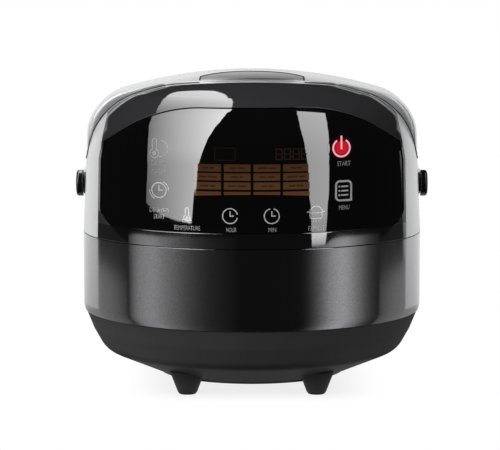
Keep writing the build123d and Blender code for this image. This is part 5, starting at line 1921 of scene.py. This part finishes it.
    def world(self) -> None:
        """Add the room: a white backdrop behind the object, dim in front of it."""
        world = bpy.data.worlds.new("studio")
        world.use_nodes = True
        graph = Graph(world.node_tree)
        way = graph.shade("ShaderNodeTexCoord", output="Generated")
        along, back, up = graph.axes(way)
        behind = back / (along * along + back * back + 0.0001) ** 0.5
        edge, narrow = (-math.cos(math.radians(turn)) for turn in (self.backdrop_turn, self.backdrop_narrow))
        top = math.sin(math.radians(self.backdrop_rise))
        low = 1 - self.low_fade * (0 - up).step(*self.low_band)
        fade = (1 - self.top_fade * up.step(0.35 * top, top)) * low
        inside = behind - edge - (narrow - edge) * up.step(0.0, 0.85 * top)
        soft = self.backdrop_soft
        mask = inside.step(-soft, soft) * (1 - up.step(top - soft, top + soft)) * fade
        seen = graph.shade("ShaderNodeLightPath", output="Is Camera Ray")
        bright = seen.math("MAXIMUM", seen, mask * self.background_rays(graph))
        bright = bright.math("MAXIMUM", bright, mask * self.backdrop_spill + self.room)
        colour = graph.shade("ShaderNodeCombineColor", {}, {0: bright, 1: bright, 2: bright})
        light = graph.shade("ShaderNodeBackground", {}, {"Color": colour})
        graph.node("ShaderNodeOutputWorld", {}, {"Surface": light})
        bpy.context.scene.world = world

    def key_panel(self) -> LightPanel:
        """Tall soft panel that stands at the left and leans over the object to its rear."""
        return LightPanel("key_panel", (
            Station((-41, -2.25), (-76, -2.2), 3.1, 0.75),
            Station((-39.5, -1.0), (-76, -1.6), 3.1, 0.8),
            Station((-37.3, 0.2), (-75.7, -0.8), 3.2, 1.0),
            Station((-36, 9.7), (-76, 4.2), 3.5, 1.1),
            Station((-35.7, 25), (-78.5, 16.3), 4.1, 1.2),
            Station((-37, 40.7), (-84.4, 27.8), 4.4, 1.15),
            Station((-41.5, 57), (-94.5, 37.5), 4.7, 1.1),
            Station((-56.8, 72.4), (-110, 44.4), 4.9, 1.1),
            Station((-100, 79.3), (-120, 46.3), 4.9, 1.1),
            Station((-150, 75.5), (-128, 48.4), 4.6, 1.3),
            Station((-165, 67.5), (-140.3, 46.5), 4.4, 1.6),
            Station((-171.8, 57.8), (-150.6, 43.1), 4.2, 1.8),
            Station((-173.4, 53.0), (-155.5, 40.4), 4.0, 1.85),
            Station((-174.8, 47.7), (-160.2, 37.2), 3.8, 1.9),
            Station((-175.5, 43.8), (-165.7, 32.1), 3.5, 1.95),
            Station((-175.8, 40.6), (-168.2, 28.7), 3.3, 2.0),
            Station((-175.5, 37.8), (-169.3, 27.2), 3.1, 2.0),
            Station((-174.3, 33.1), (-170.2, 26.8), 3.0, 2.1)))

    def side_panel(self) -> LightPanel:
        """Narrow soft panel at the right, with a dimmer foot."""
        return LightPanel("side_panel", (
            Station((40.2, -3.4), (49.5, -3.5), 0.9, 0.9),
            Station((40.1, -2.6), (50.8, -2.8), 1.6, 1.7),
            Station((40, -1.5), (52.2, -1.7), 2.2, 2.4),
            Station((38.5, 0.0), (53.8, -0.3), 2.2, 2.4),
            Station((38, 9.5), (54.6, 7.5), 2.2, 2.5),
            Station((39, 24.5), (57.2, 21.3), 2.3, 2.6),
            Station((42.6, 39.7), (62.2, 33.4), 2.4, 2.7),
            Station((48.4, 52), (69.9, 43.8), 2.5, 2.8),
            Station((60, 62.3), (81, 52), 2.6, 2.8),
            Station((81.4, 69.4), (96, 57.2), 2.6, 2.8),
            Station((111, 71.4), (111, 59.2), 2.6, 2.8),
            Station((133.4, 69.1), (122.7, 59), 2.6, 2.8)))

    def upright(self, name: str, rows: Iterable[Upright], side: int = 1) -> LightPanel:
        """Panel of upright stations.

        Args:
            name: Name of the panel.
            rows: Turn, rise of both ends and glow of both ends of each station.
            side: 1 as the rows say, -1 mirrored to the other side.

        Returns:
            The panel.
        """
        return LightPanel(name, tuple(
            Station((side * turn, near), (side * turn, far), near_glow, far_glow)
            for turn, near, far, near_glow, far_glow in rows))


def main() -> None:
    """Build the scene."""
    logging.basicConfig(level=logging.INFO, format="%(name)s: %(message)s")
    Studio().build()
    for group in (Casing(), ControlPanel(), LidGroup(), CookingWell(), RearFittings(), CarryHandle()):
        group.build()


if __name__ == "__main__":
    main()
